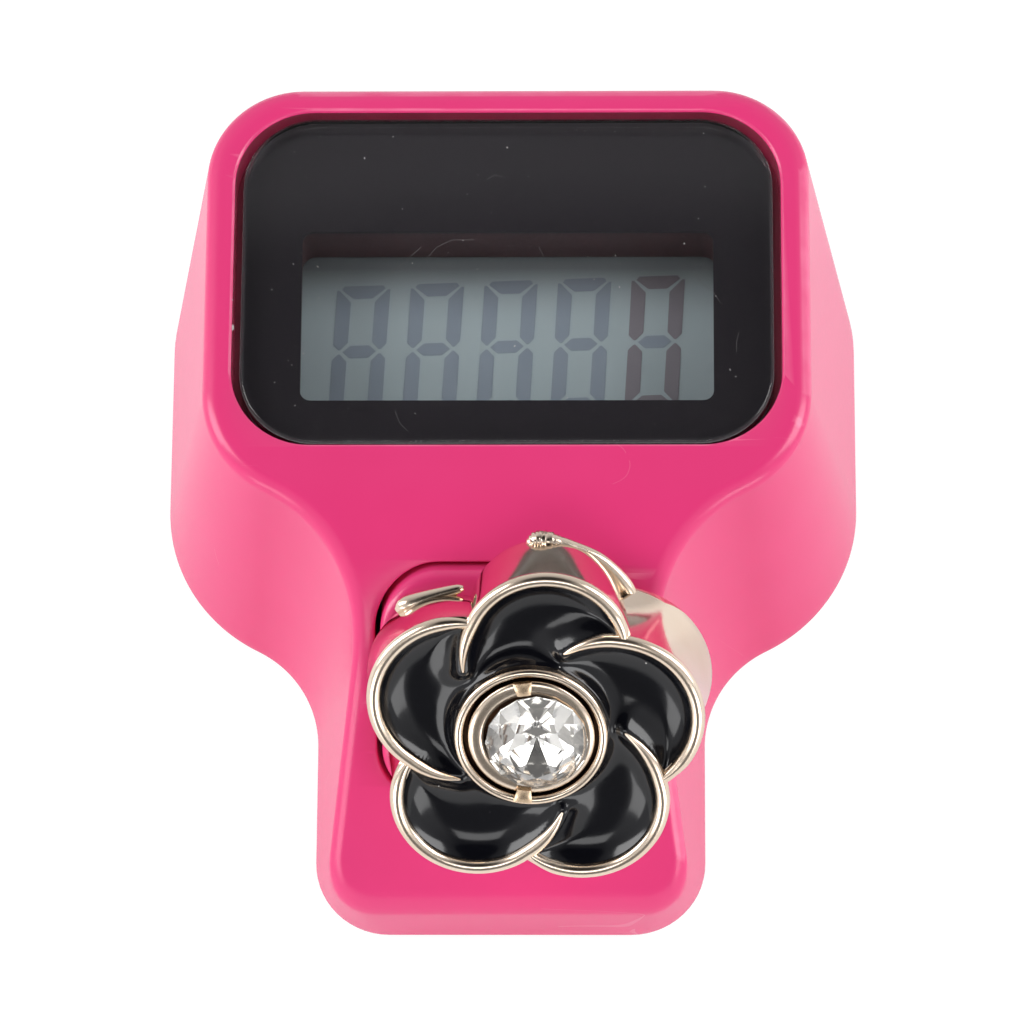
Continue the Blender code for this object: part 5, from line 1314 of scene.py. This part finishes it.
def enamel_mesh():
    """The enamel as a ring round the cup, hollowed between the rims and drawn up beside them."""
    outer = petal_ring(-RIM_HALF / 2, ENAMEL_PETAL_STEPS)
    paths = [rim_path(number) for number in range(len(PETALS))]
    top_rows = []
    for row in range(ENAMEL_ROWS + 1):
        share = row / ENAMEL_ROWS
        ring = []
        for point in outer:
            inner = CUP_SHIFT + point.normalized() * (CUP_RADIUS - RIM_HALF / 2)
            spot = point.lerp(inner, share)
            nearest = min(distance_to(path, spot) for path in paths)
            to_rim = max(nearest - RIM_HALF * RIM_GRIP_SHARE, 0)
            to_cup = max((spot - CUP_SHIFT).length - CUP_RADIUS, 0)
            hollow = (1 - exp(-to_rim / RIM_HOLLOW_REACH)) * (1 - exp(-to_cup / CUP_HOLLOW_REACH))
            ring.append((spot.x, spot.y, PETAL_TOP - ENAMEL_DROP - ENAMEL_DISH * hollow))
        top_rows.append(ring)
    low = PETAL_FLOOR + FILM_GAP
    bottom = [[(x, y, low) for x, y, z in ring] for ring in (top_rows[-1], top_rows[0])]
    return ring_mesh(top_rows + bottom, closed=True)


enamel = make("black_enamel", enamel_mesh(), FLOWER_MATRIX, BEAD_DEGREES)
paint(enamel, surface("enamel_black", (0.0026, 0.0028, 0.0046), (0.0044, 0.0046, 0.0070), low=0.10,
                      high=0.16, scale=300.0, bump_strength=0.05, dust_scale=900.0))
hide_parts("petal_enamel")
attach(enamel, "count_key")

dress("flower_glue", surface("set_glue", (0.75, 0.74, 0.68), (0.66, 0.65, 0.60), low=0.25,
                             high=0.45, scale=900.0))


# Stone and its cup
# A turned cup stands in the flower's middle: a polished outer ring, a channel, and an inner ring
# round the stone, bridged by two small claws. The stone is cut with a table, a crown of kites
# and triangles, and a foiled back that throws the light out again and carries a faint painted glow.

CUP_RISE = 0.0002
CUP_TOP = PETAL_TOP + CUP_RISE
CUP_RING_WIDTH = 0.00036
CUP_CHANNEL = 0.00015
CUP_CHANNEL_DEPTH = 0.0007
CUP_STEPS = 96
CUP_BEAD_STEPS = 6
CUP_DEGREES = 40.0
SHADED_GOLD = 1
BORE_RISE = 0.0003
INNER_DROP = 0.00004
INNER_CREST = 0.00010
INNER_BEAD_SHIFTS = (1, 1, 1, 0.4, 0.4, 0.4, 0.4)
INNER_SHIFT = Vector((0.00004, -0.00003))
STONE_SHIFT = Vector((0.00022, -0.00012))
GIRDLE_RISE = 0.00003
BORE_RADIUS = 0.00178
STONE_RADIUS = 0.00190
STONE_TABLE = 0.00108
STONE_CROWN = 0.00070
STONE_GIRDLE = 0.00010
STONE_PAVILION = 0.00125
STONE_SIDES = 8
STONE_DEGREES = 1.0
STONE_TINT = (0.97, 0.97, 0.98)
STONE_IOR = 1.58
STONE_ROUGHNESS = 0.002
KITE_HEIGHT_SHARE = 0.56
CULET_BREAK_RADIUS_SHARE = 0.55
CULET_BREAK_DEPTH_SHARE = 0.52
STONE_GLASS, STONE_FOIL = 0, 1
FOIL_FACING = -0.2
PAINTED_FOIL_GLOW = 0.07
PAINTED_FOIL_GLOW_COLOUR = (1.0, 0.98, 0.96)


def bead(inner, outer, top, radius):
    """The top of an upright ring, from its inner side over the rounded crest to its outer one."""
    half = (outer - inner) / 2
    middle = (outer + inner) / 2
    angles = [pi * i / CUP_BEAD_STEPS for i in range(CUP_BEAD_STEPS + 1)]
    return [(middle - half * cos(angle), top - radius + radius * sin(angle)) for angle in angles]


def cup_mesh():
    """The cup turned about its axis; the bore is set a little off the middle."""
    low = PETAL_FLOOR + FILM_GAP
    ring_in = CUP_RADIUS - CUP_RING_WIDTH
    inner_out = ring_in - CUP_CHANNEL
    channel = CUP_TOP - CUP_CHANNEL_DEPTH
    inner_bead = bead(BORE_RADIUS, inner_out, CUP_TOP - INNER_DROP, INNER_CREST)
    rows = [(BORE_RADIUS, low + BORE_RISE, 1)]
    rows += [(*point, share) for point, share in zip(inner_bead, INNER_BEAD_SHIFTS)]
    rows += [(inner_out, channel, 0), (ring_in, channel, 0)]
    rows += [(*point, 0) for point in bead(ring_in, CUP_RADIUS, CUP_TOP, CUP_RING_WIDTH / 2)]
    rows += [(CUP_RADIUS, low, 0)]
    return ring_mesh([at_level(circle(radius, CUP_STEPS, CUP_SHIFT + INNER_SHIFT * share), z)
                      for radius, z, share in rows])


cup = make("stone_setting", cup_mesh(), FLOWER_MATRIX, CUP_DEGREES)
paint(cup, gold_bead)
cup.data.materials.append(surface("gold_in_shade", (0.16, 0.085, 0.050), (0.10, 0.050, 0.030),
                                  low=0.2, high=0.4, scale=700.0, metallic=1.0))
cup_inverse = FLOWER_MATRIX.inverted()
for face in cup.data.polygons:
    spot = cup_inverse @ face.center
    if spot.z < CUP_TOP - CUP_RING_WIDTH / 2 and spot.xy.length < CUP_RADIUS - CUP_RING_WIDTH / 2:
        face.material_index = SHADED_GOLD
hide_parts("stone_cup")
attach(cup, "count_key")

gold_claw = surface("pale_gold_claw", (0.84, 0.64, 0.44), (0.74, 0.54, 0.36), low=0.22, high=0.34,
                    scale=700.0, metallic=1.0, bump_strength=0.05)
CLAWS = ((radians(97.0), 0.00188), (radians(263.0), 0.00212))
CLAW_RISE = 0.00016
CLAW_WIDTH = 0.00070
CLAW_THICKNESS = 0.00022
CLAW_LENGTH = 0.00052
CLAW_ARCH = 0.00003
CLAW_ROOT_SHARE = 0.72
CLAW_SECTIONS = 6
CLAW_SIDES = 12
CLAW_SQUARENESS = 1.25
CLAW_DEGREES = 45.0


def claw_mesh(turn, start):
    """A small tongue pressed over the stone's edge: arched, and narrower at its tip."""
    rings = []
    for i in range(CLAW_SECTIONS + 1):
        share = i / CLAW_SECTIONS
        reach = start + CLAW_LENGTH * share
        half = CLAW_WIDTH / 2 * (CLAW_ROOT_SHARE + (1 - CLAW_ROOT_SHARE) * share)
        middle = CUP_TOP + CLAW_RISE - CLAW_THICKNESS / 2 + CLAW_ARCH * sin(pi * share)
        ring = []
        for x, y in circle(CLAW_SQUARENESS, CLAW_SIDES):
            side = max(min(x, 1), -1) * half
            lift = max(min(y, 1), -1) * CLAW_THICKNESS / 2
            ring.append((CUP_SHIFT.x + reach * cos(turn) - side * sin(turn),
                         CUP_SHIFT.y + reach * sin(turn) + side * cos(turn), middle + lift))
        rings.append(ring)
    return ring_mesh(rings)


for number, (turn, start) in enumerate(CLAWS):
    claw = make("stone_claw_%d" % (number + 1), claw_mesh(turn, start), FLOWER_MATRIX, CLAW_DEGREES)
    paint(claw, gold_claw)
    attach(claw, "count_key")


def stone_mesh():
    """The cut stone as a hull of its corners: table, kites, triangles, girdle, pointed back."""
    girdle = CUP_TOP + GIRDLE_RISE
    low = girdle - STONE_PAVILION
    crown = girdle + STONE_GIRDLE + STONE_CROWN
    pitch = 2 * pi / STONE_SIDES
    corners = [Vector((0, 0, low))]
    for i in range(2 * STONE_SIDES):
        edge = polar(STONE_RADIUS, pitch / 2 * i)
        corners.append(Vector((*edge, girdle)))
        corners.append(Vector((*edge, girdle + STONE_GIRDLE)))
    for i in range(STONE_SIDES):
        corners.append(Vector((*polar(STONE_TABLE, pitch * i), crown)))
        corners.append(Vector((*polar((STONE_TABLE + STONE_RADIUS) / 2, pitch * (i + 0.5)),
                               girdle + STONE_GIRDLE + STONE_CROWN * KITE_HEIGHT_SHARE)))
        corners.append(Vector((*polar(STONE_RADIUS * CULET_BREAK_RADIUS_SHARE, pitch * (i + 0.5)),
                               girdle - STONE_PAVILION * CULET_BREAK_DEPTH_SHARE)))
    bm = bmesh.new()
    for corner in corners:
        bm.verts.new(corner + Vector((*(CUP_SHIFT + STONE_SHIFT), 0)))
    bmesh.ops.convex_hull(bm, input=bm.verts)
    return bm


stone = make("cut_stone", stone_mesh(), FLOWER_MATRIX, STONE_DEGREES)
paint(stone, clear_material("stone_glass", STONE_TINT, STONE_IOR, STONE_ROUGHNESS))
foil = surface("stone_foil", (0.88, 0.87, 0.84), (0.66, 0.64, 0.60), low=0.03, high=0.08,
               scale=900.0, metallic=1.0, bump_strength=0.02)
# Painted light: the foil glows faintly, brightening the stone beyond what it reflects.
put(foil.node_tree, foil.node_tree.nodes["Principled BSDF"], Emission_Color=PAINTED_FOIL_GLOW_COLOUR,
    Emission_Strength=PAINTED_FOIL_GLOW)
stone.data.materials.append(foil)
flower_up = (FLOWER_MATRIX.to_3x3() @ Vector((0, 0, 1))).normalized()
for face in stone.data.polygons:
    foiled = face.normal.dot(flower_up) < FOIL_FACING
    face.material_index = STONE_FOIL if foiled else STONE_GLASS
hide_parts("rhinestone")
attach(stone, "count_key")


# Reset key
# A small round pink key in the far end wall, with the black tact switch and its red plunger
# behind it.

RESET_EDGE = 0.00012
RESET_FLANGE_RADIUS = 0.0016
RESET_FLANGE = 0.0004
RESET_STEPS = 48

reset_low, reset_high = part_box("reset_button")
reset_middle = Vector(((reset_low[0] + reset_high[0]) / 2, 0, (reset_low[2] + reset_high[2]) / 2))
reset_length = reset_high[1] - reset_low[1]
reset_profile = [(RESET_FLANGE_RADIUS, 0), (RESET_FLANGE_RADIUS, RESET_FLANGE),
                 (RESET_RADIUS, RESET_FLANGE), (RESET_RADIUS, reset_length - RESET_EDGE)]
for inset, drop in list(quarter(FILLET_STEPS))[1:]:
    reset_profile.append((RESET_RADIUS - RESET_EDGE * inset, reset_length - RESET_EDGE * drop))
reset_matrix = (Matrix.Translation((reset_middle.x, reset_low[1], reset_middle.z))
                @ Matrix.Rotation(-pi / 2, 4, 'X'))
reset_key = make("pink_reset_key", turned(reset_profile, RESET_STEPS), reset_matrix)
paint(reset_key, pink_plastic("pink_reset_plastic"))
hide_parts("reset_button")
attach(reset_key, "reset_key")
dress("reset_switch", surface("switch_black", (0.018, 0.018, 0.020), (0.03, 0.03, 0.03), low=0.35,
                              high=0.5, scale=1500.0))
dress("reset_plunger", surface("plunger_red", (0.48, 0.07, 0.045), (0.56, 0.10, 0.07), low=0.35,
                               high=0.5, scale=1500.0))


# Floor, light and camera
# A plain white floor whose glow, as seen in reflections, is painted brighter towards the far side;
# a pale surround that is dimmer overhead and in front, two soft lamps at the sides and three in
# front, and the camera at the photograph's angle.

FLOOR_SIZE = 3.0
FLOOR_DROP = 0.00002
TARGET = Vector((0.0001, 0.0001, 0.0070))
CAMERA_DISTANCE = 0.230
CAMERA_ELEVATION = radians(69.9)
CAMERA_AZIMUTH = radians(3.3)
CAMERA_ROLL = radians(-3.15)
CAMERA_LENS = 209.0
CAMERA_CLIP_START = 0.01
LAMPS = (("left_softbox", (-0.32, 0.02, 0.20), (0.16, 0.30), 0.80),
         ("right_softbox", (0.32, 0.02, 0.20), (0.16, 0.30), 0.72),
         ("left_front_softbox", (-0.18, -0.25, 0.065), (0.17, 0.11), 0.17),
         ("right_front_softbox", (0.18, -0.25, 0.065), (0.17, 0.11), 0.17),
         ("front_softbox", (-0.02, -0.26, 0.28), (0.20, 0.10), 0.17))

SKY = ((0.0, 0.62), (0.30, 0.66), (0.60, 0.58), (0.85, 0.34), (0.9190, 0.22), (0.9222, 0.02),
       (1.0, 0.012))
SKY_BLUE_SHARE = 1.02
FRONT_LIMITS = (-0.95, 0.25, 0.25, 1.0)
BESIDE_LIMITS = (0.12, 0.45, 0.0, 1.0)
FLOOR_LIMITS = (-0.012, 0.012, 0.25, 0.62)
FLOOR_ROUGHNESS = 0.9
FLOOR_GLOW = 0.90
FLOOR_UNSEEN = (0.84, 0.84, 0.84)
FLOOR_SEEN = (0.20, 0.20, 0.20)
WHITE = (1.0, 1.0, 1.0)

floor_mesh = bmesh.new()
bmesh.ops.create_grid(floor_mesh, x_segments=1, y_segments=1, size=FLOOR_SIZE)
floor = make("pale_floor", floor_mesh, Matrix.Translation((0, 0, -FLOOR_DROP)))
floor_material, tree, floor_shader = new_shader("pale_floor")
ray = add(tree, 'LightPath').outputs
# Painted light: in reflections the floor glows brighter towards the far side, as if lit from there.
painted_far_light = map_range(tree, along_axis(tree, "Y"), FLOOR_LIMITS)
mirrored = calculate(tree, 'MULTIPLY', ray["Is Glossy Ray"], painted_far_light)
seen = calculate(tree, 'MAXIMUM', ray["Is Camera Ray"], mirrored)
seen = calculate(tree, 'MAXIMUM', seen, ray["Is Transmission Ray"])
put(tree, floor_shader, Base_Color=mix_colours(tree, seen, FLOOR_UNSEEN, FLOOR_SEEN),
    Roughness=FLOOR_ROUGHNESS, Specular_IOR_Level=0.0)
glow = add(tree, 'Emission', Color=WHITE, Strength=calculate(tree, 'MULTIPLY', seen, FLOOR_GLOW))
both = tree.nodes.new('ShaderNodeAddShader')
tree.links.new(floor_shader.outputs["BSDF"], both.inputs[0])
tree.links.new(glow.outputs["Emission"], both.inputs[1])
put(tree, tree.nodes["Material Output"], Surface=both.outputs["Shader"])
paint(floor, floor_material)

world = bpy.data.worlds.new("studio")
bpy.context.scene.world = world
world.use_nodes = True
tree = world.node_tree
ramp = add(tree, 'ValToRGB', Fac=along_axis(tree, "Z", "Generated"))
for position, strength in SKY[:-2]:
    ramp.color_ramp.elements.new(position)
for element, (position, strength) in zip(ramp.color_ramp.elements, SKY):
    element.position = position
    element.color = (strength, strength, strength * SKY_BLUE_SHARE, 1.0)
front = map_range(tree, along_axis(tree, "Y", "Generated"), FRONT_LIMITS, 'SMOOTHSTEP')
aside = calculate(tree, 'ABSOLUTE', along_axis(tree, "X", "Generated"))
beside = map_range(tree, aside, BESIDE_LIMITS, 'SMOOTHSTEP')
backdrop = put(tree, tree.nodes["Background"], Color=ramp.outputs["Color"],
               Strength=calculate(tree, 'MAXIMUM', front, beside))
plain = add(tree, 'Background', Color=WHITE)
chosen = mix_shaders(tree, add(tree, 'LightPath').outputs["Is Camera Ray"],
                     backdrop.outputs["Background"], plain.outputs["Background"])
put(tree, tree.nodes["World Output"], Surface=chosen)

for name, place, size, power in LAMPS:
    data = bpy.data.lights.new(name, 'AREA')
    data.shape = 'RECTANGLE'
    data.size, data.size_y = size
    data.energy = power
    lamp = bpy.data.objects.new(name, data)
    lamp.location = place
    lamp.rotation_euler = (Vector(place) - TARGET).to_track_quat('Z', 'Y').to_euler()
    bpy.context.scene.collection.objects.link(lamp)

towards = Vector((sin(CAMERA_AZIMUTH) * cos(CAMERA_ELEVATION),
                  -cos(CAMERA_AZIMUTH) * cos(CAMERA_ELEVATION), sin(CAMERA_ELEVATION)))
level = Vector((cos(CAMERA_AZIMUTH), sin(CAMERA_AZIMUTH), 0))
upright = towards.cross(level)
right = level * cos(CAMERA_ROLL) + upright * sin(CAMERA_ROLL)
up = upright * cos(CAMERA_ROLL) - level * sin(CAMERA_ROLL)
camera_data = bpy.data.cameras.new("photo_camera")
camera_data.lens = CAMERA_LENS
camera_data.clip_start = CAMERA_CLIP_START
camera = bpy.data.objects.new("photo_camera", camera_data)
camera.matrix_world = (Matrix.Translation(TARGET + towards * CAMERA_DISTANCE)
                       @ Matrix((right, up, towards)).transposed().to_4x4())
bpy.context.scene.collection.objects.link(camera)
bpy.context.scene.camera = camera
bpy.context.scene.view_settings.view_transform = 'Standard'
